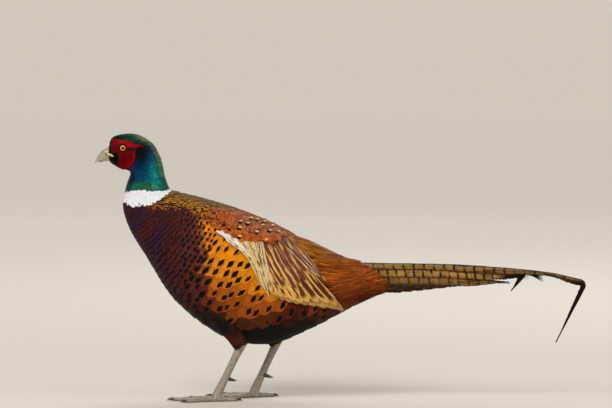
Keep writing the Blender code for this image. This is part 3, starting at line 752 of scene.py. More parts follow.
# %% Colours of the body and the rump
def paint_body(spots, chance):
    """Breast, flank, belly, gold mantle and chestnut shoulder, each with its own markings."""
    count = len(spots)
    view = drawn(spots)
    view = view[0] + cloud(spots, 14.0, 3.0) * 2.0, view[1] + cloud(spots, 14.0, 7.0) * 1.5
    scattered = view[0] + chance.normal(0, 3.0, count), view[1] + chance.normal(0, 1.6, count)
    belly = under(scattered, BELLY_TOP, 8)
    breast = toward(plain(count, "maroon"), "purple", ease(-0.5, 0.3, cloud(spots, 22.0, 5.0)))
    breast = toward(breast, "maroon", 0.8 * ease(12, 4, np.abs(spots[:, 1])))
    breast = toward(breast, "copper", 0.6 * ease(166, 198, view[0]))
    flank_share = right_of((scattered[0], view[1]), FLANK_FRONT, 10)
    low = under(view, [(200, 282), (260, 292), (320, 296)], 14)
    flank = toward(plain(count, "orange"), "rust", ease(0.0, 0.9, cloud(spots, 14.0, 9.0)) * 0.7)
    flank = toward(flank, "rust", 0.85 * low)
    flank = toward(flank, "copper", 0.45 * low)
    flank = toward(flank, "rump_dark", 0.95 * under(scattered, VENT_TOP, 6))
    colours = toward(breast, flank, flank_share)
    colours = toward(colours, "soot", belly)
    gold_share = 1 - under(scattered, GOLD_FOOT, 4)
    olive_share = 1 - under(scattered, OLIVE_FOOT, 2.5)
    marks = plain(count, "black")
    colours = toward(colours, toward(plain(count, "soot"), "olive", olive_share), gold_share)
    gilt = toward(plain(count, "gold"), "rust", 0.7 * under((view[0], view[1] + 5), GOLD_FOOT, 4))
    marks = toward(marks, toward(gilt, "soot", olive_share), gold_share)
    shoulder = right_of(scattered, CHESTNUT_FRONT, 5) * (1 - under(view, WING_FRONT, 3))
    bloom = ease(-0.3, 0.5, cloud(spots, 12.0, 13.0)) * ease(222, 250, view[0])
    back = toward(plain(count, "chestnut"), "plum", bloom)
    back = toward(back, "rust", 0.6 * under(view, SHOULDER_LOW, 4))
    colours = toward(colours, back, shoulder)
    marks = toward(marks, "soot", shoulder)
    behind = right_of(view, RUMP_FRONT, 5)
    colours = toward(colours, paint_rump(spots, chance)[0], behind)
    colours = varied(colours, spots, chance, 0.13)
    plain_share = (1 - gold_share) * (1 - shoulder) * (1 - behind)
    spotted = ease(176, 186, view[0]) * plain_share
    diamond = 2.1 - 0.28 * ease(195, 222, view[0]) - 0.2 * under(view, [(200, 275), (330, 285)], 12)
    diamond = diamond * ease(0.2, 0.5, spotted) * (1 - ease(0.5, 0.9, belly))
    diamond = diamond * chance.uniform(0.88, 1.1, count)
    rim = 0.55 * (1 - spotted) * (1 - belly * 0.5) * plain_share + 0.22 * shoulder
    gilded = ease(0.3, 0.6, gold_share * (1 - shoulder))
    streak = gilded * (0.74 - 0.02 * olive_share) + 0.62 * shoulder * (1 - behind)
    return colours, marks, strengths(count, diamond, rim, streak)


def paint_rump(spots, chance):
    """The loose rump: golden olive above with a painted sheen, rufous beside the wing, dark maroon below."""
    count, view = len(spots), drawn(spots)
    # Painted sheen: the upper rump is painted golden, and greenish in patches, partly its own colour and
    # partly a sheen.
    colours = toward(plain(count, "rump_rust"), "rump_gold_sheen", 0.8 * glow(view, (318, 250), (22, 13)))
    moss_sheen = ease(0.1, 0.7, cloud(spots, 9.0, 17.0)) * ease(272, 262, view[1])
    colours = toward(colours, "moss_sheen", 0.55 * moss_sheen)
    colours = toward(colours, "rump_rust", 0.9 * glow(view, (352, 276), (26, 12)))
    low = under(view, [(300, 268), (330, 288), (360, 292), (400, 292)], 9)
    colours = toward(colours, "rump_dark", low)
    colours = toward(colours, "rump_dark", 0.75 * ease(0.6, 1.0, chance.uniform(0, 1, count)))
    golden = ease(0.8, 1.0, chance.uniform(0, 1, count)) * ease(288, 276, view[1])
    colours = toward(colours, "gold", 0.35 * golden)
    return varied(colours, spots, chance, 0.34, 9.0), plain(count, "rump_dark"), strengths(count)


print("inks:", len(INK))

# %% [markdown]
# ## One skin under the plumage
# Under its feathers a bird has one skin with no seams. The solid head, neck, trunk, rump, thighs and wing
# roots are joined and rebuilt on a fine grid, which closes the thin cuts between them, then smoothed and
# drawn in by the depth of the coat, which is thin on the head and on the lower thighs. It has the same dark
# neck, maroon breast, orange flank and rust rump as the coat over it, painted darker as the shade between
# feathers, so no gap shows.

# %% How deep the skin lies
SKIN_PARTS = ["head", "neck", "neck_ring", "trunk", "rump", "thigh_left", "thigh_right",
              "wing_coverts_left", "wing_coverts_right"]
SKIN_GRID = 2.4
# Painted shade: the skin is painted darker than the coat over it, for the shade between feathers.
SHADED = 0.7  # the skin is darker than the coat, as what lies between feathers is


def coat_depth(x):
    """How deep the plumage is at a place along the bird, in millimetres: thin on the head."""
    return np.interp(x, [-295, -270, -240, -215, -190, -120, 10, 30, 62],
                     [0.8, 1.0, 1.6, 2.4, 4.0, 5.0, 4.5, 6.0, 6.0])


THIN_THIGH = 76.0  # the height under which only the thin lower thighs are left
THIN_COAT = 0.35  # of the coat's usual depth, there
THIGH_LINES = (((-164.0, 142.0), (-136.0, 92.0)), ((-120.0, 140.0), (-92.0, 90.0)))


def thigh_depth(spots):
    """How much deeper the skin lies where a thigh swells out of the body."""
    flat = spots[:, [0, 2]]
    away = []
    for start, end in np.array(THIGH_LINES):
        span = end - start
        share = np.clip((flat - start) @ span / (span @ span), 0, 1)
        away.append(np.linalg.norm(flat - start - share[:, None] * span, axis=1))
    swell = 8.0 * ease(34, 20, np.min(away, axis=0)) * ease(24, 34, np.abs(spots[:, 1]))
    return swell * ease(THIN_THIGH, THIN_THIGH + 26, spots[:, 2])


def skin_depth(spots):
    """The coat's depth, which is least where the thigh is thin."""
    share = THIN_COAT + (1 - THIN_COAT) * ease(THIN_THIGH, THIN_THIGH + 16, spots[:, 2])
    return coat_depth(spots[:, 0]) * share + thigh_depth(spots)

# %% The skin
def join_solids(names):
    """The points and triangles of several solid pieces, in millimetres."""
    points, faces, first = [], [], 0
    for name in names:
        mesh = nodes[name].data
        mesh.calc_loop_triangles()
        corners = np.empty(len(mesh.vertices) * 3)
        mesh.vertices.foreach_get("co", corners)
        triangles = np.empty(len(mesh.loop_triangles) * 3, int)
        mesh.loop_triangles.foreach_get("vertices", triangles)
        points.append(corners.reshape(-1, 3) / MM)
        faces.append(triangles.reshape(-1, 3) + first)
        first += len(mesh.vertices)
    return np.concatenate(points), np.concatenate(faces)


def grained_material(name, stretch, detail, shades, relief, settings):
    """A surface in the colours of its points, under a fine grain that shades and raises it. stretch
    is how fine the grain is along x, y and z, shades are its darkest and its lightest, and relief is
    the bump's strength and its depth in metres."""
    material, tree, shader = new_material(name, settings)
    ground = add(tree, "Attribute", attribute_name="ground")
    place = add(tree, "Mapping", {0: add(tree, "TexCoord").outputs["Object"], 3: stretch})
    grain = add(tree, "TexNoise", {"Vector": place, "Scale": 1.0, "Detail": detail})
    shade = add(tree, "MapRange", {0: grain, 1: 0.3, 2: 0.7, 3: shades[0], 4: shades[1]})
    tinted = add(tree, "VectorMath", {0: ground, 3: shade}, "SCALE")
    bump = add(tree, "Bump", {"Height": grain, "Strength": relief[0], "Distance": relief[1]})
    tree.links.new(tinted.outputs[0], shader.inputs["Base Color"])
    tree.links.new(bump.outputs[0], shader.inputs["Normal"])
    return material


# Soft down and skin: matt, with a mottle 3 mm across.
DOWNY_SKIN = grained_material("downy_skin", (330.0,) * 3, 4.0, (0.6, 1.1), (0.6, 0.0008),
                              {"Roughness": 0.8, "Specular IOR Level": 0.05})


def paint_skin(spots):
    """The coat's ground colours all along the bird, painted darker as the shade between feathers."""
    chance = np.random.default_rng(2)
    colours = paint_body(spots, chance)[0]
    view = drawn(spots)
    low = under(view, [(300, 270), (400, 285)], 10)
    rump = toward(plain(len(spots), "rump_rust"), "rump_dark", low)
    colours = toward(colours, rump, ease(285, 305, view[0]))
    colours = toward(colours, "white", 1 - under(view, COLLAR_FOOT, 1.5))
    dark = paint_neck(spots, chance)[0]
    colours = toward(colours, dark, (1 - under(view, COLLAR_TOP, 1.0)) * (view[0] < 178))
    return colours * SHADED


solid_points, solid_faces = join_solids(SKIN_PARTS)
skin = new_mesh("skin", solid_points, [solid_faces], DOWNY_SKIN)
remesh = skin.modifiers.new("rebuild", "REMESH")
remesh.mode = "VOXEL"
remesh.voxel_size = SKIN_GRID * MM
remesh.use_smooth_shade = True
smooth = skin.modifiers.new("smooth", "SMOOTH")
smooth.iterations = 6
smooth.factor = 0.5
built = bpy.data.meshes.new_from_object(skin.evaluated_get(bpy.context.evaluated_depsgraph_get()))
skin.modifiers.clear()
skin.data = built
skin_points = np.array([vertex.co for vertex in built.vertices]) / MM
skin_normals = np.array([vertex.normal for vertex in built.vertices])
skin_points = skin_points - skin_normals * skin_depth(skin_points)[:, None]
built.vertices.foreach_set("co", (skin_points * MM).ravel())
keep_colours(built, "ground", paint_skin(skin_points))
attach(skin, "root")
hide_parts(*SKIN_PARTS)
print("skin:", len(skin_points), "points")

# %% [markdown]
# ## Breast, flanks and belly
# Rings of feathers run from the collar to the vent, each ring half a step round from the last, which
# gives the scaly pattern of the real breast. They are 10 mm long under the collar and four times as
# long on the belly. Under the folded wing there is nothing to see, so nothing is grown there.

# %% Body feathers
chance = np.random.default_rng(11)
WING_COVERED = [(222, 234), (240, 246), (262, 252), (290, 262), (322, 290), (326, 300), (290, 296),
                (272, 282), (264, 264), (250, 250)]
LIE_PLACES = (9.0, 9.6, 10.0, 10.5, 11.0, 11.5, 12.2)
UPWARD = (0.55, 0.32, 0.12, -0.15, -0.35, -0.5, -0.6)


def lie(roots):
    """How far feathers turn up from along the body: up near the collar, down on the flanks."""
    return -np.sin(roots.turn) * np.interp(roots.place, LIE_PLACES, UPWARD)


def anywhere(view):
    return np.ones(view[0].shape, bool)


def body_tract(start, end, spacing, around, keep, paint, shape, overlap=3.3, widen=1.75, tilt=0.17,
               keep_tips=anywhere, **more):
    """A tract of feathers on the body in rings. keep chooses roots by place, turn and drawn view, and
    keep_tips chooses feathers by where their tips fall on the drawing."""
    roots = ring_roots(BODY, start, end, spacing, around, chance)
    roots = chosen(roots, keep(roots, drawn(body(roots.place, roots.turn))))
    step, width = room(BODY, roots)
    length = step * overlap
    depth = np.minimum(length * tilt, coat_depth(body(roots.place, roots.turn)[:, 0]))
    growth = grow(BODY, roots, shape, length, width * widen, depth, chance, angle=lie(roots), **more)
    kept = keep_tips(drawn(growth.points[:, -1, growth.points.shape[2] // 2]))
    growth = Growth(*(values[kept] for values in growth))
    return growth, paint(growth.spots, chance)


BACK_FOOT = [(140, 197), (148, 203), (156, 207), (172, 206), (184, 207), (194, 211), (206, 216), (226, 215),
             (250, 222), (278, 237), (304, 262), (330, 290)]


def past_collar(view):
    return under(view, COLLAR_FOOT, 0.1) > 0.5


def on_back(roots, view):
    return (under(view, BACK_FOOT, 0.1) < 0.5) & (right_of(view, RUMP_FRONT, 0.1) < 0.5)


def on_breast(roots, view):
    return past_collar((view[0], view[1] + 5)) & (under(view, BACK_FOOT, 0.1) > 0.5)


def on_flank(roots, view):
    before_rump = right_of((view[0] + 12, view[1]), RUMP_FRONT, 0.1) < 0.5
    return ~inside(view, WING_COVERED) & (under((view[0], view[1] + 3), BACK_FOOT, 0.1) > 0.5) & before_rump


# diamond is how large the tract's black marks are, of the size that paint_body gives them.
Tract = namedtuple("Tract", "start end spacing around keep shape widen tilt finish diamond")
TRACTS = {
    "upper_breast_feathers": Tract(7.2, 8.7, (2.9, 3.4), 78, on_breast, "scale", 1.45, 0.17, "contour", 1.0),
    "breast_feathers": Tract(8.7, 9.9, (3.4, 4.2), 72, on_breast, "scale", 1.45, 0.17, "contour", 1.0),
    "lower_breast_feathers": Tract(9.9, 10.6, (4.4, 6.4), 52, on_flank, "scale", 1.6, 0.12, "contour", 1.0),
    "flank_feathers": Tract(10.6, 11.3, (7.4, 11.8), 32, on_flank, "large", 1.75, 0.08, "contour", 1.0),
    "belly_feathers": Tract(11.3, 14.4, (12.6, 12.6), 27, on_flank, "large", 1.75, 0.07, "contour", 0.90),
    "mantle_feathers": Tract(7.2, 9.9, (5.4, 6.4), 92, on_back, "lance", 1.75, 0.12, "mantle", 1.0),
    "back_feathers": Tract(9.9, 14.0, (6.6, 7.0), 92, on_back, "lance", 1.9, 0.12, "mantle", 1.0),
}
for name, tract in TRACTS.items():
    growth, paint = body_tract(tract.start, tract.end, tract.spacing, tract.around, tract.keep, paint_body,
                               tract.shape, widen=tract.widen, tilt=tract.tilt, arch=0.25, ragged=0.14,
                               keep_tips=past_collar)
    paint[2][:, 0] *= tract.diamond
    feather_piece(name, [growth], [paint], PLUMAGE[tract.finish])

# %% [markdown]
# ## The rump
# Over the rump the feathers are long, loose and hair-like, with no clean edge, so they are grown as
# narrow strands that hang back and down over the root of the tail. Each is as long as the space that
# is left before the tail's bars show, and the last ones sink towards the tail and close round it.

# %% Rump and tail coverts
def on_rump(roots, view):
    return (right_of(view, RUMP_FRONT, 0.1) > 0.5) & ~inside(view, WING_COVERED)


TAIL_CLOSING = 6.0  # how far the last strands sink
RUMP_END = [(258, 358), (262, 362), (268, 372), (275, 378), (283, 386), (290, 393), (296, 396)]
roots = ring_roots(BODY, AT["hind_belly"] - 0.4, AT["coverts"] + 0.8, (4.2, 4.2), 104, chance)
roots = chosen(roots, on_rump(roots, drawn(body(roots.place, roots.turn))))
spots = body(roots.place, roots.turn)
left_to_go = (np.interp(drawn(spots)[1], *zip(*RUMP_END)) - drawn(spots)[0]) * SQUARE
roots = chosen(roots, left_to_go > 9)
left_to_go = left_to_go[left_to_go > 9]
reach = np.clip(left_to_go + 3, 12, 36) * chance.uniform(0.7, 1.0, roots.place.size)
# Those at the sides and below close round the tail's root, and those on top lie along it.
closing = ease(36, 14, left_to_go) * ease(0.7, 0.2, np.cos(roots.turn))
strands = grow(BODY, roots, "strand", reach, 2.4, 3.4, chance, arch=0.6, ragged=0.3,
               lift=chance.uniform(0.2, 1.8, len(reach)) - TAIL_CLOSING * closing,
               angle=chance.normal(0, 0.10, len(reach)))
spots_paint = paint_rump(strands.spots, chance)
feather_piece("rump_feathers", [strands], [spots_paint], PLUMAGE["loose"])

# %% [markdown]
# ## The head and the neck
# The smallest feathers of all are on the head, about 1.5 mm apart, and they shine like metal. They
# leave the bare red face, the bill and the eyes free. Down the neck they grow to 3 mm, and the white
# collar ends in a ragged edge over the breast.

# %% Head, neck and collar feathers
FACE = [(-286, 323.6), (-284.3, 326.8), (-279.4, 327.2), (-272.5, 325.6), (-264.5, 325), (-257.5, 321.4),
        (-244.8, 317.8), (-252.5, 315.4), (-255.4, 311.4), (-255.8, 304), (-257.5, 297.4), (-261.5, 291.4),
        (-266.5, 288.4), (-271.5, 287.9), (-276, 290.4), (-277.8, 296.4), (-277.6, 303.4), (-278.4, 309.2),
        (-284.2, 308), (-286.4, 312.5)]


def off_face(roots, view):
    spots = body(roots.place, roots.turn)
    return ~inside((spots[:, 0], spots[:, 2]), FACE) & (spots[:, 0] > -292)


def above_collar(view):
    return under(view, COLLAR_TOP, 0.1) < 0.5


def on_collar(roots, view):
    return under((view[0], view[1] + 3.0), COLLAR_TOP, 0.1) > 0.5


def above_foot(view):
    return under(view, COLLAR_FOOT, 0.1) < 0.5


growth, paint = body_tract(AT["collar_top"] - 0.6, AT["shoulder"] + 0.3, (1.9, 2.2), 104, on_collar,
                           paint_collar, "small", 3.4, arch=0.3, widen=1.9, ragged=0.25,
                           keep_tips=above_foot)
feather_piece("collar_feathers", [growth], [paint], PLUMAGE["white"])
growth, paint = body_tract(AT["hind_crown"] + 1.2, AT["collar_foot"] + 0.2, (2.1, 2.9), 72, off_face,
                           paint_neck, "small", 3.2, arch=0.3, keep_tips=above_collar)
feather_piece("neck_feathers", [growth], [paint], PLUMAGE["sheen"])
growth, paint = body_tract(0.3, AT["hind_crown"] + 1.2, (1.3, 2.1), 72, off_face, paint_neck, "small", 3.2,
                           arch=0.2)
feather_piece("head_feathers", [growth], [paint], PLUMAGE["sheen"])

roots = ring_roots(BODY, AT["hind_crown"] - 0.2, AT["mid_neck"] - 0.2, (2.4, 3.2), 90, chance)
roots = chosen(roots, np.cos(roots.turn) > 0.80)
fringe = grow(BODY, roots, "strand", chance.uniform(5, 9, roots.place.size), 0.9, 0.8, chance,
              lift=chance.uniform(0.3, 1.5, roots.place.size), arch=0.3, ragged=0.3)
colours, marks, worn = paint_neck(fringe.spots, chance)
# Painted rim light: some of the nape's strands are painted pale, as a highlight along the back of the neck.
colours = toward(colours, "nape_rim_highlight", 0.75 * chance.uniform(0, 1, len(colours)) ** 1.5)
feather_piece("nape_fringe", [fringe], [(colours, marks, worn * 0)], PLUMAGE["loose"])

# %% [markdown]
# ## A surface for the side of the bird
# The wing and the face lie on the bird's side, where each point is best named by x and z. So the side
# is measured once, by looking along Y at the solids on a fine grid, and smoothed. What is drawn on
# the side drawing then falls straight onto it. It is made for the right side, and turned over for the
# left.

# %% Measure the side
def body_mesh(places, around=96):
    """The body's surface as points and faces, for looking at."""
    turns = full_turn(around)
    grid = body(*np.meshgrid(places, turns, indexing="ij"))
    return grid.reshape(-1, 3), ring_faces(len(places), around)


def side_surface(meshes, low, high, cell, passes):
    """The right side of some meshes between two (x, z) corners. place is x, and turn is minus z."""
    xs, zs = np.arange(low[0], high[0], cell), np.arange(low[1], high[1], cell)
    out = np.full((len(xs), len(zs)), -1.0)
    for points, faces in meshes:
        tree = BVHTree.FromPolygons(points.tolist(), faces.tolist())
        for i, x in enumerate(xs):
            for j, z in enumerate(zs):
                hit = tree.ray_cast(Vector((x, 150, z)), Vector((0, -1, 0)))[0]
                if hit:
                    out[i, j] = max(out[i, j], hit.y)
    known = (out > 0).astype(float)
    out = np.maximum(out, 0)
    for _ in range(passes):
        for axis in (0, 1):
            out = (out + np.roll(out, 1, axis) + np.roll(out, -1, axis)) / 3
            known = (known + np.roll(known, 1, axis) + np.roll(known, -1, axis)) / 3
    out = out / np.maximum(known, 1e-3)

    def at(place, turn):
        across = np.clip((place - low[0]) / cell, 0, len(xs) - 1.001)
        up = np.clip((-turn - low[1]) / cell, 0, len(zs) - 1.001)
        i, j = across.astype(int), up.astype(int)
        a, b = across - i, up - j
        side = ((out[i, j] * (1 - a) + out[i + 1, j] * a) * (1 - b)
                + (out[i, j + 1] * (1 - a) + out[i + 1, j + 1] * a) * b)
        return np.stack([place, side, -turn], -1)

    return Surface(at, cell * 0.75, (low[0], high[0]))


body_solid = body_mesh(np.linspace(7, 17, 90))
WING = side_surface([join_solids(["wing_coverts_right", "flight_feathers_right"]), body_solid],
                    (-216, 70), (60, 256), 2.0, 3)
print("side of the wing at its middle:", WING.at(np.array([-97.0]), np.array([-180.0])).round(1))

# %% [markdown]
# ## The folded wing
# A folded wing is a fan closed in layers. At the bottom lie the long flight feathers, over them the
# great coverts, whose cream edges and maroon middles make the stripes, and over those the small
# coverts and the chestnut shoulder feathers with cream spots. Each layer rests on the one below, and
# in each the feather nearer the back lies over its neighbour.

# %% Feathers along guide lines
def fan(starts, ends, count, bulge):
    """Guide curves between two lines on the drawing. bulge pushes their middles forward and down."""
    share = np.linspace(0, 1, count)[:, None]
    roots = [through(starts, share[:, 0] * (len(starts) - 1)), through(ends, share[:, 0] * (len(ends) - 1))]
    chord = roots[1] - roots[0]
    middle = (roots[0] + roots[1]) / 2 + np.stack([-chord[:, 1], chord[:, 0]], -1) * bulge
    return roots[0], middle, roots[1]


def guided(curves, shape, width, gap, chance, uneven=0.0, surface=WING, **more):
    """Feathers along guide curves. uneven is how much shorter than its curve one may be."""
    first, middle, last = (np.stack(undrawn(*points.T), -1)[:, None] for points in curves)
    t = SHAPES[shape].rows[:, None] * chance.uniform(1 - uneven, 1, (len(first), 1, 1))
    line = first * (1 - t) ** 2 + 2 * middle * t * (1 - t) + last * t**2
    places, turns = line[..., 0], -line[..., 1]
    count = len(places)
    order = np.arange(count)
    spread = gap * (order - count / 2)
    roots = Roots(spread, np.zeros(count), np.full(count, abs(gap)), np.full(count, abs(gap) * 8))
    return vanes(surface, places, turns, roots, SHAPES[shape], width, 1.2, chance, **more)


def paint_streaked(count, edge, middle, least, most, rim, chance):
    """Pale feathers with dark streaks between a least and a most strength."""
    grounds = plain(count, edge) * chance.uniform(0.88, 1.1, (count, 1))
    marks = plain(count, middle) * chance.uniform(0.8, 1.15, (count, 1))
    return grounds, marks, strengths(count, rim=rim, streak=chance.uniform(least, most, count))

# %% Shoulder feathers and their spots
def wing_roots(outline, angle, gap_along, gap_across, chance):
    """Staggered roots inside an outline on the drawing, in rows across the lie of the feathers."""
    steps = np.arange(-60, 61)
    rows, columns = np.meshgrid(steps, steps, indexing="ij")
    middle = np.mean(outline, axis=0)
    ahead = np.array([math.cos(angle), math.sin(angle)])
    across = np.array([-math.sin(angle), math.cos(angle)])
    spots = (middle + rows[..., None] * gap_along * ahead
             + (columns + 0.5 * (rows % 2))[..., None] * gap_across * across).reshape(-1, 2)
    spots = spots + chance.uniform(-0.12, 0.12, spots.shape) * gap_along
    spots = spots[inside(spots.T, outline)]
    x, z = undrawn(*spots.T, 40)
    return Roots(x, -z, np.full(len(x), gap_along * SQUARE), np.full(len(x), gap_across * SQUARE))


SHOULDER = [(203, 211), (206, 217), (213, 224), (219, 228), (226, 229.5), (232, 232.5), (237, 236.5),
            (245, 236.5), (254, 238), (260, 236), (265, 239), (269, 238), (275, 233), (282, 232),
            (278, 230), (262, 223), (248, 216.5), (226, 210.5), (212, 208)]
CREAM_SPOTS = [(240.5, 227), (240.5, 235.5), (248.5, 223.5), (251.5, 219), (257, 231.5), (258, 220.5),
               (263, 226), (265, 222.5), (266.5, 239.5), (270.5, 231), (273, 226.5), (279, 232.5),
               (241, 221.5)]
DARK_SPOTS = [(224, 224.5), (250, 231.5), (229, 229)]


def spots_at(places, length, width, rise, chance):
    """Small single feathers that end the shoulder's long ones, each round a place on the drawing."""
    x, z = undrawn(*np.array(places).T, 40)
    roots = Roots(x - length * 0.45, -z - length * 0.12, np.full(len(x), 4.0), np.full(len(x), 4.0))
    return grow(WING, roots, "lance", length, width, 0.4, chance, angle=0.25, rise=rise, lift=0.3, arch=0.12)

# %% Layers of the wing
# A fan has the lines of its roots and its tips on the drawing, how many feathers it has, how far
# they bow, their shape, width, gap and unevenness, how high the first and the last lie, and how much
# they lean and arch.
Fan = namedtuple("Fan", "starts ends count bulge shape width gap uneven rise lean arch")
FANS = {
    "primaries": Fan([(262, 256), (286, 250)], [(273, 297.5), (292, 303), (316, 307.5), (345, 312.5)],
                     10, 0.04, "quill", 12.0, 3.0, 0.0, (-3.0, -1.6), 0.3, 0.4),
    "secondaries": Fan([(250, 247), (268, 246), (286, 241)],
                       [(268, 292), (286, 299), (308, 304), (340, 307)],
                       11, 0.05, "quill", 11.0, 4.0, 0.08, (-1.5, -0.5), 0.4, 0.5),
    "coverts": Fan([(247, 243), (262, 240), (284, 235)], [(264, 280), (282, 290), (304, 295), (328, 287)],
                   12, 0.06, "blade", 10.0, 3.0, 0.30, (-0.3, 0.5), 0.4, 0.6),
    "tertials": Fan([(276, 236), (285, 233)], [(316, 276), (328, 285)],
                    3, -0.03, "blade", 6.5, 2.0, 0.05, (0.7, 1.1), 0.4, 0.4),
    "inner_cream": Fan([(249, 240), (262, 241)], [(260, 262), (267, 280), (274, 294)],
                       9, 0.04, "blade", 7.0, 2.0, 0.1, (0.9, 0.6), 0.4, 0.4),
    "outer_cream": Fan([(222, 230.5), (232, 234.5), (241, 238), (252, 241)],
                       [(236, 244.5), (246, 251.5), (254, 261), (259.5, 270), (263, 284), (270, 297)],
                       17, 0.03, "blade", 6.4, 2.0, 0.04, (1.6, 0.9), 0.4, 0.4),
    "silver": Fan([(217, 230.5), (222, 233), (227, 236.5), (231, 240.5)],
                  [(229, 235.5), (233.5, 239.5), (237.5, 243.5), (243, 248.5)],
                  9, 0.04, "lance", 4.2, 0.6, 0.0, (2.0, 1.8), 0.0, 0.4),
}
# The edge's and the middle's ink, the least and the most streak, and the rim
STREAKED = {
    "primaries": ("gold_buff", "umber", 0.3, 0.5, 0.2),
    "secondaries": ("buff", "umber", 0.5, 0.9, 0.15),
    "coverts": ("buff", "streak", 0.55, 0.95, 0.0),
    "tertials": ("sand", "streak", 0.8, 0.9, 0.0),
    "inner_cream": ("sand", "drab", 0.45, 0.7, 0.0),
}
FLIGHT_LAYERS, COVERT_LAYERS = slice(0, 2), slice(2, 6)
SHOULDER_LAYERS = slice(6, None)


def fanned(own, chance):
    """The feathers of a fan, each a little higher or lower than the last."""
    return guided(fan(own.starts, own.ends, own.count, own.bulge), own.shape, own.width, own.gap, chance,
                  own.uneven, rise=np.linspace(*own.rise, own.count), lean=own.lean, arch=own.arch)


def wing_layers(chance):
    """The feathers of one wing, from the lowest layer to the highest, each with its paint."""
    fans = {name: fanned(own, chance) for name, own in FANS.items() if name != "silver"}
    layers = [(fans[name], paint_streaked(FANS[name].count, *look, chance))
              for name, look in STREAKED.items()]
    count = FANS["outer_cream"].count
    colours = toward(plain(count, "cream"), "sand", ease(1, 8, np.arange(count)))
    streaks = strengths(count, streak=chance.uniform(0.35, 0.6, count))
    layers.append((fans["outer_cream"], (colours, plain(count, "drab"), streaks)))
    count = FANS["silver"].count
    colours = toward(plain(count, "white"), "cream", np.linspace(0, 1, count) ** 2)
    layers.append((fanned(FANS["silver"], chance), (colours, plain(count, "sand"), strengths(count))))
    roots = wing_roots(SHOULDER, math.radians(27), 4.2, 4.0, chance)
    shoulder = grow(WING, roots, "round", 14, 8.6, 1.8, chance, angle=math.radians(30), rise=0.4, lift=0.7,
                    arch=0.6, ragged=0.12)
    view = drawn(shoulder.spots)
    colours = toward(plain(len(view[0]), "chestnut"), "plum", ease(226, 250, view[0]))
    low = under(view, SHOULDER_LOW, 4)
    colours = toward(colours, "rust", 0.85 * low)
    colours = varied(colours, shoulder.spots, chance, 0.3, 8.0)
    dark = ease(240, 210, view[0])
    worn = strengths(len(colours), rim=0.2 + 0.15 * dark, streak=(0.42 + 0.12 * dark) * (1 - low))
    layers.append((shoulder, (colours, plain(len(colours), "soot"), worn)))
    dark_spots = [(x - 1.5, y + 1.5) for x, y in CREAM_SPOTS] + DARK_SPOTS
    for name, places, length, width, rise in (("black", dark_spots, 7.0, 4.0, 0.9),
                                              ("sand", CREAM_SPOTS, 4.6, 2.5, 1.5)):
        spots = spots_at(places, length, width, rise, chance)
        count = len(places)
        layers.append((spots, (plain(count, name), plain(count, name), strengths(count))))
    return layers

# %% Both wings
for name, turn_over in (("right", False), ("left", True)):
    layers = wing_layers(np.random.default_rng(31 if turn_over else 37))
    growths = [mirrored(growth) if turn_over else growth for growth, _ in layers]
    looks = [look for _, look in layers]
    feather_piece(f"flight_vanes_{name}", growths[FLIGHT_LAYERS], looks[FLIGHT_LAYERS], PLUMAGE["flight"],
                  [f"flight_feathers_{name}"])
    feather_piece(f"great_coverts_{name}", growths[COVERT_LAYERS], looks[COVERT_LAYERS], PLUMAGE["flight"])
    feather_piece(f"shoulder_feathers_{name}", growths[SHOULDER_LAYERS], looks[SHOULDER_LAYERS],
                  PLUMAGE["shoulder"], [f"wing_coverts_{name}"])

# %% [markdown]
# ## The tail
# The tail is eighteen long stiff vanes in pairs that lie like the two slopes of a roof, the middle
# pair on top. Each is made on the solid's own shape, as a thin slab with a raised shaft and a frayed
# edge. The bars are 11 to 13 mm apart, as on the real tail, and this bird's two longest feathers are
# worn to black at their hooked tips.

# %% The tail's lines and edges
TAIL_PAIRS = 9
TAIL_RIDGE = through([(63.6, 171.0), (140.0, 169.6), (205.0, 165.4), (262.0, 159.4), (301.0, 150.8)],
                     np.linspace(0, 4, 81))
Droop = namedtuple("Droop", "radius length slope")
TIP_DROOP = Droop(8.0, 77.0, math.radians(118))
SECOND_DROOP = Droop(7.0, 24.0, math.radians(134))
SECOND_PAIR_LENGTH, OUTER_PAIR_LENGTH = 164.0, 150.0
ROOF_LOW, ROOF_HIGH, ROOF_ARC = math.radians(35), math.radians(88), 36.0
CENTRAL_ARCS = (11.5, 11.5, 12.0, 13.5, 13.0, 9.5, 7.5, 12.0, 8.0, 4.6, 1.2)
SECOND_ARCS = (21.5, 21.5, 21.5, 21.5, 21.5, 21.5, 21.0, 18.5, 14.0, 11.0, 2.4)
PAIR_PITCH, VANE_THICKNESS = 1.25, 0.7
TAIL_ROOT = 34.0
MIDDLE_GAP = 0.03  # from the middle to each vane of the top pair


def cut_to(line, length):
    """The first stretch of a line, up to a length along it."""
    far = distances(line)
    end = [np.interp(length, far, line[:, axis]) for axis in (0, 1)]
    return np.concatenate([line[far < length - 1e-6], [end]])


def hooked(ridge, droop):
    """A side-view line along the ridge that ends in a bend and a straight droop."""
    ahead = unit(ridge[-1] - ridge[-2])
    begin = math.atan2(-ahead[1], ahead[0])
    centre = ridge[-1] - np.array([math.sin(begin), math.cos(begin)]) * droop.radius
    angles = np.linspace(begin, droop.slope, 25)[1:]
    bend = centre + np.stack([np.sin(angles), np.cos(angles)], -1) * droop.radius
    down = np.array([math.cos(droop.slope), -math.sin(droop.slope)])
    return np.concatenate([ridge, bend, bend[-1] + down * droop.length * np.linspace(0.1, 1.0, 10)[:, None]])


def pair_line(pair):
    if pair == 1:
        return hooked(TAIL_RIDGE, TIP_DROOP)
    if pair == 2:
        return hooked(cut_to(TAIL_RIDGE, SECOND_PAIR_LENGTH), SECOND_DROOP)
    return cut_to(TAIL_RIDGE, OUTER_PAIR_LENGTH * (TAIL_PAIRS - pair + 1) / (TAIL_PAIRS - 2))


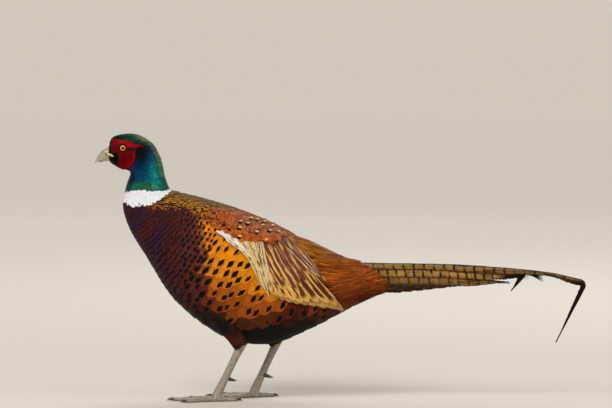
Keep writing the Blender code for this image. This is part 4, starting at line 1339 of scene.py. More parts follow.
def pair_arcs(pair, share):
    """The inner and outer edges of a pair's vane down the roof's slope, at shares of its length."""
    inner = 1.6 * (pair - 1)
    if pair <= 2:
        arcs = (CENTRAL_ARCS, SECOND_ARCS)[pair - 1]
        return np.full(share.shape, inner), through(arcs, share * (len(arcs) - 1))
    outer = 31.5 + 2.1 * (pair - 3)
    if pair == 3:  # the lowest that shows, twisted so that only its outer vane is seen at the end
        outer = outer - 8.5 * ease(0.6, 1.0, share)
        return inner + (outer - 6 + 5 * ease(0.75, 1.0, share) - inner) * ease(0.3, 0.72, share), outer
    shaft = inner + (outer - inner) * 0.4
    width = 1 - 0.94 * ease(0.55, 1.03, share)
    return shaft + (inner - shaft) * width, shaft + (outer - shaft) * width

# %% One vane
def tail_grid(pair, rows, columns, chance):
    """One vane's points, with its distance along and across. The three upper pairs start earlier,
    over the rump, so that their roots show where the coverts end."""
    line = pair_line(pair)
    rooted = TAIL_ROOT if pair <= 3 else 14.0
    line = np.concatenate([line[:1] + [(-rooted, 0.9)], line])
    far = distances(line)
    places = np.linspace(0, far[-1], rows)
    spine = np.stack([np.interp(places, far, line[:, axis]) for axis in (0, 1)], -1)
    share = np.clip((places - rooted) / (far[-1] - rooted), 0, 1)
    ahead = unit(np.gradient(spine, axis=0))
    up = np.stack([-ahead[:, 1], ahead[:, 0]], -1)
    inner, outer = pair_arcs(pair, share)
    fray = chance.uniform(-1, 0.3, rows) * np.where(np.arange(rows) % 3 == 0, 1.3, 0.35)
    outer = outer + fray * np.minimum((outer - inner) * 0.12, 1.0)
    across = np.linspace(0, 1, columns)
    arc = inner[:, None] + (outer - inner)[:, None] * across
    rate = (ROOF_HIGH - ROOF_LOW) / ROOF_ARC
    slope = ROOF_LOW + rate * arc
    shaft_at = 0.45 if pair <= 2 else 0.38
    shaft = np.exp(-((across - shaft_at) * (outer - inner)[:, None] / 0.8) ** 2)
    wave = 0.22 * np.sin(share[:, None] * far[-1] / 5.5 + across * 3 + pair)
    layers = []
    thickness = VANE_THICKNESS * (1 - 0.75 * np.abs(2 * across - 1) ** 3)
    for depth in (-0.35 * shaft + wave * 0.5, thickness + 0.3 * shaft):
        deep = PAIR_PITCH * (pair - 1) + depth
        out = (np.sin(slope) - math.sin(ROOF_LOW)) / rate - deep * np.sin(slope)
        down = (math.cos(ROOF_LOW) - np.cos(slope)) / rate + deep * np.cos(slope)
        out = out * (1 + 0.62 * ease(64, 36, spine[:, :1]))
        spot = spine[:, None] - up[:, None] * down[..., None]
        layers.append(np.stack([spot[..., 0], np.maximum(out, MIDDLE_GAP), spot[..., 1]], -1))
    return layers, places[:, None] + 0 * arc, arc, across + 0 * arc, shaft


def slab_faces(rows, columns):
    """The faces of a closed slab between two grids."""
    grid = np.arange(rows * columns).reshape(rows, columns)
    rim = np.concatenate([grid[0], grid[1:, -1], grid[-1, -2::-1], grid[-2:0:-1, 0]])
    below = rim + rows * columns
    edge = np.stack([rim, np.roll(rim, -1), np.roll(below, -1), below], -1)
    return np.concatenate([grid_faces(grid), grid_faces(grid + rows * columns)[:, [0, 3, 2, 1]], edge])


def turned_over(points, faces, side):
    """A piece that was made for the right side, on the side that it belongs to."""
    if side < 0:
        return points * (1, -1, 1), faces[:, ::-1]
    return points, faces

# %% Colours of a vane
def paint_tail(points, pair, along, arc, across, shaft):
    """Olive-tan with bars, a dark line at the very top, rufous at the outer edge, black at the hook."""
    tan = np.broadcast_to(INK["tail_tan"], points.shape)
    tan = toward(tan, "tail_ochre", 0.8 * (pair == 2) * ease(0.1, 0.5, across))
    tan = toward(tan, "tail_rufous", ease(0.75, 1.0, across) * (0.8 if pair > 2 else 0.4))
    if pair == 1:
        tan = toward(tan, "tail_rufous", 0.45 * ease(90, 150, along))
        tan = toward(tan, "tail_dark", ease(2.2, 0.9, arc))
    if pair > 2:
        tan = toward(tan, "tail_dark", 0.42)
    lumps = cloud(points, 7.0, pair * 3.0)
    fibres = cloud(np.stack([along / 22 + pair, arc / 1.1, 0 * arc], -1), 1.0, 0.5)
    tan = toward(tan * (1 + 0.45 * lumps)[..., None], "tail_black", 0.75 * ease(0.12, 0.42, fibres))
    worn = ease(0.84, 1.0, across) + ease(0.10, 0.0, across)
    if pair == 1:
        worn = np.maximum(worn, 0.9 * ease(0.62, 0.9, across + 0.25 * lumps))
        worn = np.maximum(worn, ease(0.35, 0.6, across) * ease(205, 235, along))
    tan = toward(tan, "tail_black", 0.75 * np.clip(worn, 0, 1))
    hook = {1: (246, 276), 2: (168, 186)}.get(pair, (900, 901))
    black = ease(*hook, along + (arc - 6) * (3 if pair == 1 else 0.6))
    tan = toward(tan, "tail_black", black)
    tan = toward(tan, "tail_black", 0.75 * (shaft > 0.6))
    bars = np.full(arc.shape, 0.95 if pair <= 2 else 0.75) * (1 - 0.5 * ease(0.0, 0.3, lumps))
    return tan, bars * (1 - black)

# %% The eighteen vanes
def make_tail_vane(pair, name, side, chance):
    rows, columns = (170, 9) if pair <= 2 else (90, 8)
    (top, bottom), along, arc, across, shaft = tail_grid(pair, rows, columns, chance)
    colours, bars = paint_tail(top, pair, along, arc, across, shaft)
    points = np.concatenate([top.reshape(-1, 3), bottom.reshape(-1, 3)])
    points, faces = turned_over(points, slab_faces(rows, columns), side)
    spread = 1.15 if pair == 2 else 1.0
    vane = np.stack([pair + 0.5 + (across - 0.45) * 0.7, along / 100 * spread + 0.031 * pair], -1)
    vane = vane.reshape(-1, 2)
    bake = np.stack([across * 0.9 + 0.05, along / along.max() * 0.9 + 0.05], -1).reshape(-1, 2)
    both = [np.concatenate([values, values]) for values in (vane, bake, colours.reshape(-1, 3))]
    marks = strengths(rows * columns, bars=bars.reshape(-1))
    made = new_mesh(f"tail_vane_{pair}_{name}", points, [faces], PLUMAGE["tail"],
                    {"OFBake": both[1], "vane": both[0]},
                    {"ground": both[2], "mark": np.broadcast_to(INK["tail_black"], both[2].shape),
                     "marks": np.concatenate([marks, marks])})
    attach(made, "root")
    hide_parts(f"tail_feather_{pair}_{name}")
    return made


tail_chance = np.random.default_rng(51)
for pair in range(1, TAIL_PAIRS + 1):
    for name, side in (("left", -1), ("right", 1)):
        vane = make_tail_vane(pair, name, side, tail_chance)
print("tail vanes:", 2 * TAIL_PAIRS, "last one", len(vane.data.vertices), "points")

# %% [markdown]
# ## Worn barbs
# Where the tail's end is worn, single barbs have come away from the vane and hang below it. They are
# strands, grown on a flat surface just beside the tail.

# %% Worn barbs
def beside_tail(place, turn):
    """A flat surface just beside the tail."""
    return np.stack([place, 3.5 + 0 * place, -turn], -1)


BESIDE_TAIL = Surface(beside_tail, 0.5, (60.0, 330.0))
BARBS = 34
barb_ends = [(490, 277), (503, 281), (514, 279), (524, 284), (536, 281), (545, 286), (548, 281)]
barb_lines = fan([(503, 275.5), (518, 275), (530, 274)], barb_ends, BARBS, -0.12)
barbs = guided(barb_lines, "strand", 0.85, 1.2, tail_chance, 0.35, surface=BESIDE_TAIL, arch=0.2,
               rise=tail_chance.uniform(-1, 1, BARBS))
barb_black = plain(BARBS, "tail_black")
for name, growth in (("right", barbs), ("left", mirrored(barbs))):
    feather_piece(f"worn_barbs_{name}", [growth], [(barb_black, barb_black, strengths(BARBS))],
                  PLUMAGE["loose"])

# %% [markdown]
# ## The bare red face
# A cock's face is bare skin covered with small round bumps, about a millimetre apart, swollen in
# spring. It is laid out as a fine field of points inside the face's outline, three to a bump, and
# draped on the side of the head. Three crossed waves raise the bumps, and a little noise shifts them
# out of their rows. Round the eye the skin rises to a lid.

# %% Outlines and bumps
HEAD = side_surface([body_mesh(np.linspace(0, 7, 120), 160)], (-296, -212), (262, 336), 1.0, 1)
EYE_CENTRE = np.array([-271.4, 11.2, 315.6])
EYE_RADIUS = 5.2
EYE_OPENING = 4.15
BUMP_PITCH = 1.15


def resampled(outline, step):
    """An outline as a smooth closed line of evenly spaced points."""
    corners = np.array(outline)
    closed = np.concatenate([corners[-1:], corners, corners[:2]])
    fine = through(closed, np.linspace(1, len(corners) + 1, 1200))
    far = distances(fine)
    places = np.linspace(0, far[-1], int(far[-1] / step), endpoint=False)
    return np.stack([np.interp(places, far, fine[:, axis]) for axis in (0, 1)], -1)


def hex_points(outline, pitch):
    """Points in a fine hexagonal pattern inside an outline."""
    low, high = outline.min(0), outline.max(0)
    columns, rows = np.meshgrid(np.arange(low[0], high[0], pitch), np.arange(low[1], high[1], pitch * 0.866))
    columns = columns + (np.arange(rows.shape[0]) % 2)[:, None] * pitch / 2
    spots = np.stack([columns.ravel(), rows.ravel()], -1)
    return spots[inside(spots.T, [tuple(corner) for corner in outline])]


def edge_distance(spots, outline):
    """How far points are from an outline."""
    near, far = outline, np.roll(outline, -1, axis=0)
    span = far - near
    share = ((spots[:, None] - near) * span).sum(-1) / (span * span).sum(-1)
    closest = near + np.clip(share, 0, 1)[..., None] * span
    return np.linalg.norm(spots[:, None] - closest, axis=-1).min(1)


def bumps(x, z, pitch):
    """Round bumps in a hexagonal pattern: 1 at each one's middle and 0 between them."""
    total = 0
    for angle in (0, math.pi / 3, 2 * math.pi / 3):
        total = total + np.cos(2 * math.pi / (pitch * 0.866) * (x * math.cos(angle) + z * math.sin(angle)))
    return np.clip((total + 1.5) / 4.5, 0, 1)

# %% The red skin
WATTLE = mixed({
    "red": "#720108", "vivid": "#B4020B", "bright": "#900309", "deep": "#560109", "crease_shade": "#240206",
})
# Bare skin over blood: deep red, with painted shade darker in the hollows of its grain, a little glossy and
# moist.
WATTLE_SKIN = grained_material("bare_wattle_skin", (1800.0,) * 3, 3.0, (0.8, 1.15), (0.4, 0.0002),
                               {"Roughness": 0.45, "Specular IOR Level": 0.03})


FACE_GLOWS = [
    # Partly the skin's own dark red and partly painted shadow under the eye.
    ("deep", (125, 160), (6.5, 8), 0.85),
    ("deep", (116, 147), (4, 6), 0.8),
    ("bright", (134.5, 157), (2.0, 10), 0.9),
    ("vivid", (132, 145.2), (7, 2.0), 0.95),
    ("vivid", (123, 141), (11, 2.6), 0.7),
    ("vivid", (130, 166), (5, 3), 0.5),
]
# Painted shade in the face's creases: behind the eye and above the bill's root.
FACE_CREASE_SHADE = [("crease_shade", (131.6, 155.5), (1.0, 5), 0.85), ("crease_shade", (116, 141.5), (2.5, 0.8), 0.7)]


def make_face(name, side):
    outline = resampled(FACE, 0.45)
    ring_turns = full_turn(44)
    ring = EYE_CENTRE[[0, 2]] + np.stack([np.cos(ring_turns), np.sin(ring_turns)], -1) * EYE_OPENING
    spots = hex_points(outline, BUMP_PITCH / 3)
    edge = edge_distance(spots, outline)
    from_eye = np.linalg.norm(spots - EYE_CENTRE[[0, 2]], axis=1)
    spots = spots[(edge > 0.25) & (from_eye > EYE_OPENING + 0.2)]
    flat = np.concatenate([outline, ring, spots])
    count = len(outline)
    borders = [(first + i, first + (i + 1) % size)
               for first, size in ((0, count), (count, len(ring))) for i in range(size)]
    flat, _, triangles, _, _, _ = delaunay_2d_cdt([Vector(spot) for spot in flat], borders, [], 0, 1e-5)
    flat = np.array(flat)
    middles = np.array([flat[list(face)].mean(0) for face in triangles])
    keep = inside(middles.T, [tuple(corner) for corner in outline])
    keep &= np.linalg.norm(middles - EYE_CENTRE[[0, 2]], axis=1) > EYE_OPENING * 0.995
    faces = np.array([list(face) for face, wanted in zip(triangles, keep) if wanted])
    edge = edge_distance(flat, outline)
    from_eye = np.linalg.norm(flat - EYE_CENTRE[[0, 2]], axis=1)
    lid = np.exp(-((from_eye - 5.0) / 0.75) ** 2)
    level = np.stack([flat[:, 0], flat[:, 1], 0 * flat[:, 0]], -1)
    shifted = flat + 0.42 * np.stack([cloud(level, 2.2, 5.0), cloud(level, 2.2, 9.0)], -1)
    knob = bumps(shifted[:, 0], shifted[:, 1], BUMP_PITCH) * (0.75 + 0.5 * cloud(level, 3.0, 13.0))
    knobs = knob * ease(0.2, 1.2, edge) * ease(5.2, 6.2, from_eye)
    rise = -0.7 + 1.7 * ease(0, 1.6, edge) + 0.42 * knobs + 0.55 * lid
    rise = rise + 0.35 * cloud(level, 5.0, 2.0)
    place, turn = flat[:, 0], -flat[:, 1]
    points = HEAD.at(place, turn) + directions(HEAD, place, turn)[2] * rise[:, None]
    ball = np.sqrt(np.maximum((EYE_RADIUS + 0.25) ** 2 - from_eye**2, 0)) + EYE_CENTRE[1]
    points[:, 1] = np.where(from_eye < 5.0, np.maximum(points[:, 1], ball), points[:, 1])
    view = drawn(points)
    colours = glowing(np.broadcast_to(WATTLE["red"], points.shape), view, WATTLE, FACE_GLOWS)
    wedge = glow((view[0], view[1] + 0.12 * (view[0] - 131)), (131.5, 149.7), (4.2, 0.9))
    colours = toward(colours, "ear_black", np.clip(1.7 * wedge, 0, 1))
    colours = glowing(colours, view, WATTLE, FACE_CREASE_SHADE)
    # Painted shade inside the lid, darker towards the eye's opening.
    colours = toward(colours, WATTLE["crease_shade"], ease(5.4, 4.4, from_eye))
    # Painted shade and light: darker between the bumps and lighter on their tops.
    colours = colours * (0.62 + 0.5 * knob)[:, None]
    points, faces = turned_over(points, faces[:, ::-1], side)
    made = new_mesh(f"wattle_{name}", points, [faces], WATTLE_SKIN, None, {"ground": colours}, sharp=80)
    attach(made, "root")
    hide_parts(f"face_{name}")
    print(f"wattle_{name}:", len(faces), "triangles")


for name, side in (("left", -1), ("right", 1)):
    make_face(name, side)

# %% [markdown]
# ## Ear feathers
# Behind the eye a few small dark feathers cover the ear and part the red skin. They are as narrow as
# the nape's, and each follows a straight line back from its root.

# %% Ear feathers
EAR_ROOTS = np.array([(126.6, 150.6), (127.8, 149.9), (129.2, 150.6), (130.4, 149.6), (131.8, 150.2),
                      (133.2, 149.3)])
EAR_FEATHER = (4.4, -0.6)  # from root to tip on the drawing
for name, turn_over in (("right", False), ("left", True)):
    ends = EAR_ROOTS + EAR_FEATHER
    lines = [EAR_ROOTS, (EAR_ROOTS + ends) / 2, ends]
    ear = guided(lines, "lance", 1.6, 0.5, np.random.default_rng(71), surface=HEAD, rise=1.8, arch=0.2)
    count = len(EAR_ROOTS)
    colours = toward(plain(count, "ear_black"), "neck_blue", np.linspace(0.05, 0.3, count))
    feather_piece(f"ear_feathers_{name}", [mirrored(ear) if turn_over else ear],
                  [(colours, colours, strengths(count))], PLUMAGE["sheen"])

# %% [markdown]
# ## The eyes
# A pheasant's iris is yellow, with fine dark rays, round a black pupil. It lies behind a clear domed
# cornea that is always wet, and that gives the bright point of light which makes an eye look alive.
# The ball is turned from a profile, with the cornea's bulge on it, and the wet layer is a clear coat.

# %% The wet eye
CORNEA_IOR = 1.376
EYE_TURNS = 64


def eye_material():
    """A yellow iris with dark rays under a wet clear coat."""
    material, tree, shader = new_material("wet_bird_eye", {
        "Roughness": 0.35, "Specular IOR Level": 0.1, "Coat Weight": 0.6, "Coat Roughness": 0.02,
        "Coat IOR": CORNEA_IOR})
    disc = add(tree, "SeparateXYZ", {0: add(tree, "UVMap", uv_map="disc")}).outputs
    turn, radius = disc[0], disc[1]
    spread = add(tree, "CombineXYZ", {0: turn, 1: radius})
    rays = add(tree, "Mapping", {0: spread, 3: (60.0, 3.0, 1.0)})
    rays = add(tree, "TexNoise", {"Vector": rays, "Scale": 1.0, "Detail": 2.0})
    ramp = add(tree, "ValToRGB", {0: radius})
    stops = ((0.0, "#060508"), (0.27, "#060508"), (0.31, "#6E5206"), (0.47, "#C4A414"), (0.58, "#B48C10"),
             (0.65, "#2A1C08"), (0.70, "#0A0708"))
    while len(ramp.color_ramp.elements) < len(stops):
        ramp.color_ramp.elements.new(0.5)
    for element, (place, code) in zip(ramp.color_ramp.elements, stops):
        element.position = place
        element.color = (*linear(code), 1)
    shade = add(tree, "MapRange", {0: rays, 1: 0.35, 2: 0.65, 3: 0.65, 4: 1.15})
    tinted = add(tree, "VectorMath", {0: ramp, 3: shade}, "SCALE")
    tree.links.new(tinted.outputs[0], shader.inputs["Base Color"])
    return material


WET_EYE = eye_material()

# %% Eyeballs
def make_eye(name, side):
    """A ball turned round the Y axis. The cornea is a smaller dome on it."""
    angles = np.linspace(0, np.pi, 40)
    cornea = 0.55 * ease(0.95, 0.55, angles)
    radius = EYE_RADIUS + cornea - 0.15
    turns = full_turn(EYE_TURNS)
    ring = (radius * np.sin(angles))[1:-1, None]
    depth = (radius * np.cos(angles))[1:-1, None] + 0 * turns
    rows = np.stack([ring * np.cos(turns), depth, ring * np.sin(turns)], -1)
    points = np.concatenate([[(0, radius[0], 0)], rows.reshape(-1, 3), [(0, -radius[-1], 0)]])
    rim = np.arange(EYE_TURNS)
    after = np.roll(rim, -1)
    last = len(points) - 1
    front = np.stack([0 * rim, 1 + after, 1 + rim], -1)
    back = last - np.stack([0 * rim, EYE_TURNS - rim, EYE_TURNS - after], -1)
    share = np.concatenate([[0], np.repeat(np.sin(angles[1:-1]), EYE_TURNS), [0]])
    share = np.where(points[:, 1] > 0, share, 1.0)
    around = np.concatenate([[0], np.tile(np.abs(turns / np.pi - 1), len(rows)), [0]])
    disc = np.stack([around, share], -1)
    points = (points + EYE_CENTRE) * (1, side, 1)
    groups = [ring_faces(len(rows), EYE_TURNS) + 1, np.concatenate([front, back])]
    if side > 0:
        groups = [group[:, ::-1] for group in groups]
    made = new_mesh(f"eyeball_{name}", points, groups, WET_EYE, {"disc": disc}, None, sharp=80)
    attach(made, "root")
    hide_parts(f"eye_{name}")


for name, side in (("left", -1), ("right", 1)):
    make_eye(name, side)
print("eyes:", 2)

# %% [markdown]
# ## The bill
# The bill is horn over bone: hard and smooth, grey along the ridge and yellowish near the mouth's
# corner. Each half is lofted through the solid's own slices, more finely, and is flat where it meets
# the other. The upper one has a nostril sunk under a pale swelling.

# %% Horn
UPPER_BILL = [(-282.5, 311.0, 304.9, 5.6), (-288.0, 315.6, 303.6, 6.0), (-292.5, 314.6, 302.3, 5.9),
              (-297.5, 311.6, 300.6, 5.0), (-302.0, 306.6, 298.8, 3.6), (-304.8, 301.4, 296.8, 2.1),
              (-306.3, 297.0, 294.2, 0.8)]
BILL_TURNS = 80
LOWER_BILL = [(-282.5, 304.8, 299.4, 4.8), (-288.0, 303.6, 299.2, 5.2), (-293.5, 302.0, 298.6, 4.7),
              (-298.5, 300.25, 297.3, 3.4), (-301.6, 298.95, 296.8, 1.8)]
HORN = mixed({
    "flange": "#BDB184", "ridge": "#767D74", "side": "#928E6E", "tip": "#8C8E82", "gape": "#B09340",
    "flap": "#B8AC88", "nostril": "#2A241C",
})


def horn_material(name, roughness, scale):
    """Horn: satin, with fine growth lines four times as long as they are wide."""
    return grained_material(name, (scale * 0.25, scale, scale), 4.0, (0.82, 1.1), (0.3, 0.0002),
                            {"Roughness": roughness, "IOR": KERATIN_IOR})


def closed_rings(name, parts, material, replaced):
    """One mesh of closed smooth solids. Each part has its rings of points, with a fan at each end, and
    their colours."""
    points, colours, quads, fans, first = [], [], [], [], 0
    for part in parts:
        for kept, values in ((points, part[0]), (colours, part[1])):
            kept += [values.reshape(-1, 3), values[[0, -1]].mean(1)]
        count, around = part[0].shape[:2]
        rim, last = first + np.arange(around), first + count * around
        after = np.roll(rim, -1)
        back = last - around - first
        quads.append(ring_faces(count, around) + first)
        fans.append(np.stack([0 * rim + last, after, rim], -1))
        fans.append(np.stack([0 * rim + last + 1, rim + back, after + back], -1))
        first = last + 2
    made = new_mesh(name, np.concatenate(points), [np.concatenate(quads), np.concatenate(fans)], material,
                    None, {"ground": np.concatenate(colours)}, sharp=70)
    builder = bmesh.new()
    builder.from_mesh(made.data)
    bmesh.ops.recalc_face_normals(builder, faces=builder.faces)
    builder.to_mesh(made.data)
    builder.free()
    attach(made, "root")
    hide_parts(*replaced)

# %% The two halves of the bill
bill_horn = horn_material("bill_horn_smooth", 0.32, 900.0)


def make_bill(name, slices, upper):
    values = through(np.array(slices), np.linspace(0, len(slices) - 1, 60))
    x, top, bottom, width = (values[:, column, None] for column in range(4))
    turns = full_turn(BILL_TURNS)
    middle, half = (top + bottom) / 2, (top - bottom) / 2
    peak = 0.86 if upper else 1.0  # the ridge is a little sharper than round
    out = np.sign(np.sin(turns)) * np.abs(np.sin(turns)) ** peak
    height = np.cos(turns)
    meets = height < 0 if upper else height > 0
    height = np.where(meets, np.clip(height * 12, -1, 1), height)  # flat where the halves meet
    rings = np.stack([x + 0 * turns, width * out, middle + half * height], -1)
    level = np.cos(turns) + 0 * x
    colours = np.broadcast_to(HORN["side"], rings.shape)
    colours = toward(colours, HORN["ridge"], ease(0.2, 0.9, level) * upper)
    colours = toward(colours, HORN["tip"], ease(-297, -304, rings[..., 0]) * 0.7)
    beside_gape = ease(-297, -289, rings[..., 0]) * ease(0.1, -0.6, level if upper else -level)
    colours = toward(colours, HORN["gape"], beside_gape * 0.85)
    if upper:
        flap = glow((rings[..., 0], rings[..., 2]), (-291.0, 311.2), (3.4, 1.7))
        hole = glow((rings[..., 0], rings[..., 2]), (-292.0, 308.4), (2.0, 0.55))
        normal = np.stack([0 * rings[..., 0], out + 0 * x, 0 * rings[..., 0]], -1)
        rings = rings + normal * (0.7 * flap - 1.1 * hole)[..., None]
        colours = toward(colours, HORN["flap"], np.clip(1.3 * flap, 0, 1))
        # Painted shade: the nostril's slit is painted near black, for the shade inside it.
        colours = toward(colours, HORN["nostril"], np.clip(1.4 * hole, 0, 1))
    closed_rings(f"{name}_horn", [(rings, colours)], bill_horn, [name])


make_bill("bill_upper", UPPER_BILL, True)
make_bill("bill_lower", LOWER_BILL, False)
print("bill length:", round(UPPER_BILL[0][0] - UPPER_BILL[-1][0], 1), "mm")

# %% [markdown]
# ## Flesh at the bill's root
# A soft pale flange runs back from the mouth's corner, and a soft flap covers the nostril. Each is one
# smooth blade along a line on the drawing, on a side surface of the bill's own.

# %% The flange and the flap
BILL_SIDE = side_surface([join_solids(["bill_upper", "bill_lower"]), body_mesh(np.linspace(0, 3, 60), 160)],
                         (-309, -276), (288, 326), 0.6, 2)
FLANGE = ((104.6, 155.0), (109.5, 155.2), (114.4, 157.9))
FLAP = ((109.2, 149.0), (107.0, 149.4), (104.0, 152.2))
FLESH_WIDTH = 3.2
for name, turn_over in (("right", False), ("left", True)):
    flesh, looks = [], []
    for curve, shape, lift, ink in ((FLANGE, "blade", 0.9, "flange"), (FLAP, "large", 0.3, "flap")):
        growth = guided([np.array([point]) for point in curve], shape, FLESH_WIDTH, 2.0,
                        np.random.default_rng(61), surface=BILL_SIDE, rise=0.1, lift=lift, arch=0.4,
                        ragged=0.0)
        flesh.append(mirrored(growth) if turn_over else growth)
        looks.append((HORN[ink][None], HORN[ink][None], strengths(1)))
    feather_piece(f"bill_flesh_{name}", flesh, looks, bill_horn)

# %% [markdown]
# ## Legs and feet
# Below the feathered thigh the leg is bare and covered with horny plates: two rows of wide ones down
# the front, small ones behind, and a row of short ones along the top of each toe. The plates are made
# in the mesh, as shallow grooves between them. A cock has a spur at the back of each shank.

# %% Measures of the legs
Leg = namedtuple("Leg", "knee ankle foot heading")
LEGS = {
    "left": Leg((-164.0, -28.0, 142.0), (-124.0, -33.0, 70.0), (-154.0, -32.0, 7.0), 6.0),
    "right": Leg((-120.0, 28.0, 140.0), (-80.0, 33.0, 69.0), (-108.0, 32.0, 7.0), -4.0),
}
THIGH_RADII = (6.0, 13.0, 17.0, 17.0, 13.5, 10.0, 8.2)
THIGH_INSET = 9.0  # of the knee toward the middle, so that the flank's feathers cover it
SHANK_RADII = (5.6, 4.3, 4.0, 4.3, 5.2)
# The way that a toe points, in degrees, its length and its claw's
TOES = {"inner": (36.0, 34.0, 8.0), "middle": (0.0, 46.0, 9.5), "outer": (-36.0, 37.0, 8.0),
        "hind": (172.0, 17.0, 7.0)}
TOE_ARCH = ((0, 4.2), (0.25, 3.3), (0.5, 3.1), (0.75, 2.7), (1, 2.4))
CLAW_ARCH = ((-1.5, 0, 0.1), (0, 0.35, 0.5), (0, 0.7, 0.0), (0, 1, -1.7))
SPUR_ARCH = ((1.5, 0), (7, 0.2), (12, 0.9), (17, 2.4))
PLATE_LENGTH = {"shank": 3.6, "foot": 2.6}
SCALES = mixed({
    "plate": "#8C8578", "groove": "#4A4238", "warm": "#9A8468", "claw": "#3A3028", "claw_tip": "#6E6250",
})
GROUND = 0.05  # nothing of a foot is lower
leg_scales = horn_material("leg_scale_keratin", 0.45, 700.0)
claw_horn = horn_material("claw_horn_dark", 0.35, 1200.0)

# %% Tubes and plates
def tube_rings(centres, radii, count, sides, flatten=1.0):
    """Rings round a smooth line, and the distance along it of each."""
    steps = np.linspace(0, len(centres) - 1, count)
    line = through(np.array(centres), steps)
    size = through(np.array(radii), np.linspace(0, len(radii) - 1, count))[:, None, None]
    ahead = unit(np.gradient(line, axis=0))
    across = unit(np.cross(ahead, (0.0, 0.001, 1.0) if abs(ahead[0][2]) < 0.7 else (1.0, 0, 0)))
    upward = np.cross(across, ahead)
    turns = full_turn(sides)[None, :, None]
    spokes = across[:, None] * np.cos(turns) + upward[:, None] * np.sin(turns) * flatten
    rings = line[:, None] + size * spokes
    far = distances(line)
    return rings, far[:, None], np.broadcast_to(turns[..., 0], rings.shape[:2]), line


def plate_grooves(far, turns, length, seams):
    """1 in the grooves between plates: across every length, staggered from row to row, and along the
    seams."""
    rows = np.zeros(turns.shape)
    grooves = np.zeros(turns.shape)
    for number, seam in enumerate(seams):
        away = np.abs(np.angle(np.exp(1j * (turns - seam))))
        grooves = np.maximum(grooves, np.exp(-(away / 0.09) ** 2))
        rows = np.where(np.sin(turns - seam) > 0, number, rows)
    phase = far / length + 0.5 * (rows % 2)
    across = np.abs(phase - np.round(phase)) * length
    return np.maximum(grooves, np.exp(-(across / 0.28) ** 2))


def scaly(rings, line, grooves, deep):
    away = unit(rings - line[:, None])
    colours = toward(np.broadcast_to(SCALES["plate"], rings.shape), SCALES["groove"], 0.85 * grooves)
    lumps = cloud(rings, 6.0, 4.0)
    colours = toward(colours, SCALES["warm"], ease(0.0, 0.6, lumps))
    return rings - away * (deep * grooves)[..., None], colours


def claw_colours(rings, far, start, end):
    """Dark horn that pales towards its tip, from one distance along it to another."""
    pale = np.broadcast_to(ease(start, end, far), rings.shape[:2])
    return toward(np.broadcast_to(SCALES["claw"], rings.shape), SCALES["claw_tip"], pale)

# %% Shanks, spurs, feet and claws
def make_shank(name, leg):
    top, bottom = np.array(leg.ankle), np.array((leg.foot[0], leg.foot[1], 8.0))
    down = unit(bottom - top)
    line = [top - down * 5 + (bottom - top + down * 5) * share for share in np.linspace(0, 1, 5)]
    rings, far, turns, centre = tube_rings(line, SHANK_RADII, 110, 32, 1.15)
    grooves = plate_grooves(far, turns, PLATE_LENGTH["shank"], (np.pi * 1.5, np.pi * 0.35, np.pi * 0.65))
    closed_rings(f"shank_scales_{name}", [scaly(rings, centre, grooves, 0.35)], leg_scales,
                 [f"shank_{name}"])
    root = bottom + (top - bottom) * 0.36
    back = unit(np.array((-down[2], 0, down[0])))
    out = unit(back + np.array((0, -math.copysign(0.4, leg.foot[1]), 0)))
    spine = [root + out * reach + (0, 0, rise) for reach, rise in SPUR_ARCH]
    rings, far, _, _ = tube_rings(spine, (3.0, 2.5, 1.6, 0.3), 26, 20)
    closed_rings(f"spur_horn_{name}", [(rings, claw_colours(rings, far, 8, 16))], claw_horn,
                 [f"spur_{name}"])


def make_foot(name, leg):
    foot = np.array((*leg.foot[:2], 0))
    heights, sizes = (0.2, 2.5, 6.0, 9.5, 12.5), (6.2, 7.2, 6.6, 5.2, 4.6)
    rings, far, turns, centre = tube_rings([foot + (0, 0, height) for height in heights], sizes, 24, 32)
    grooves = plate_grooves(far, turns, PLATE_LENGTH["foot"], (0.0, 1.6, 3.1, 4.7))
    parts = [scaly(rings, centre, grooves, 0.25)]
    for toe, (turn, length, claw) in TOES.items():
        angle = math.radians(turn + leg.heading)
        ahead = np.array((-math.cos(angle), math.sin(angle), 0))
        root = length + 7.5
        spine = [foot + ahead * root * share + (0, 0, height) for share, height in TOE_ARCH]
        rings, far, turns, centre = tube_rings(spine, (3.9, 3.4, 3.0, 2.9, 2.3), 60, 24, 0.95)
        knuckle = 1 + 0.07 * np.cos(far / root * 3 * 2 * np.pi)
        rings = centre[:, None] + (rings - centre[:, None]) * knuckle[..., None]
        grooves = plate_grooves(far, turns, PLATE_LENGTH["foot"], (0.45, np.pi - 0.45))
        rings, colours = scaly(rings, centre, grooves, 0.28)
        rings[..., 2] = np.maximum(rings[..., 2], GROUND)
        parts.append((rings, colours))
        nail = [spine[-1] + ahead * (back + claw * share) + (0, 0, height)
                for back, share, height in CLAW_ARCH]
        rings, far, _, _ = tube_rings(nail, (2.2, 2.0, 1.3, 0.3), 22, 16)
        rings[..., 2] = np.maximum(rings[..., 2], GROUND)
        colours = claw_colours(rings, far, 5, 10)
        closed_rings(f"nail_{toe}_{name}", [(rings, colours)], claw_horn,
                     [f"claw_{toe}_{name}"])
    closed_rings(f"foot_scales_{name}", parts, leg_scales, [f"foot_{name}"])

# %% Both legs, with their thigh feathers
def thigh_surface(leg):
    """The feathered thigh as a surface: place counts its radii from the knee."""
    knee, ankle = np.array(leg.knee), np.array(leg.ankle)
    knee[1] -= math.copysign(THIGH_INSET, knee[1])
    along = unit(ankle - knee)
    forward = unit(np.cross((0.0, 1.0, 0.0), along))

    def at(place, turn):
        centre = knee + (ankle - knee) * (place / (len(THIGH_RADII) - 1))[..., None]
        size = through(THIGH_RADII, place)[..., None]
        return centre + size * (np.array((0, 1, 0)) * np.cos(turn)[..., None]
                                + forward * 1.15 * np.sin(turn)[..., None])

    return Surface(at, 0.02, (0.0, 6.25))


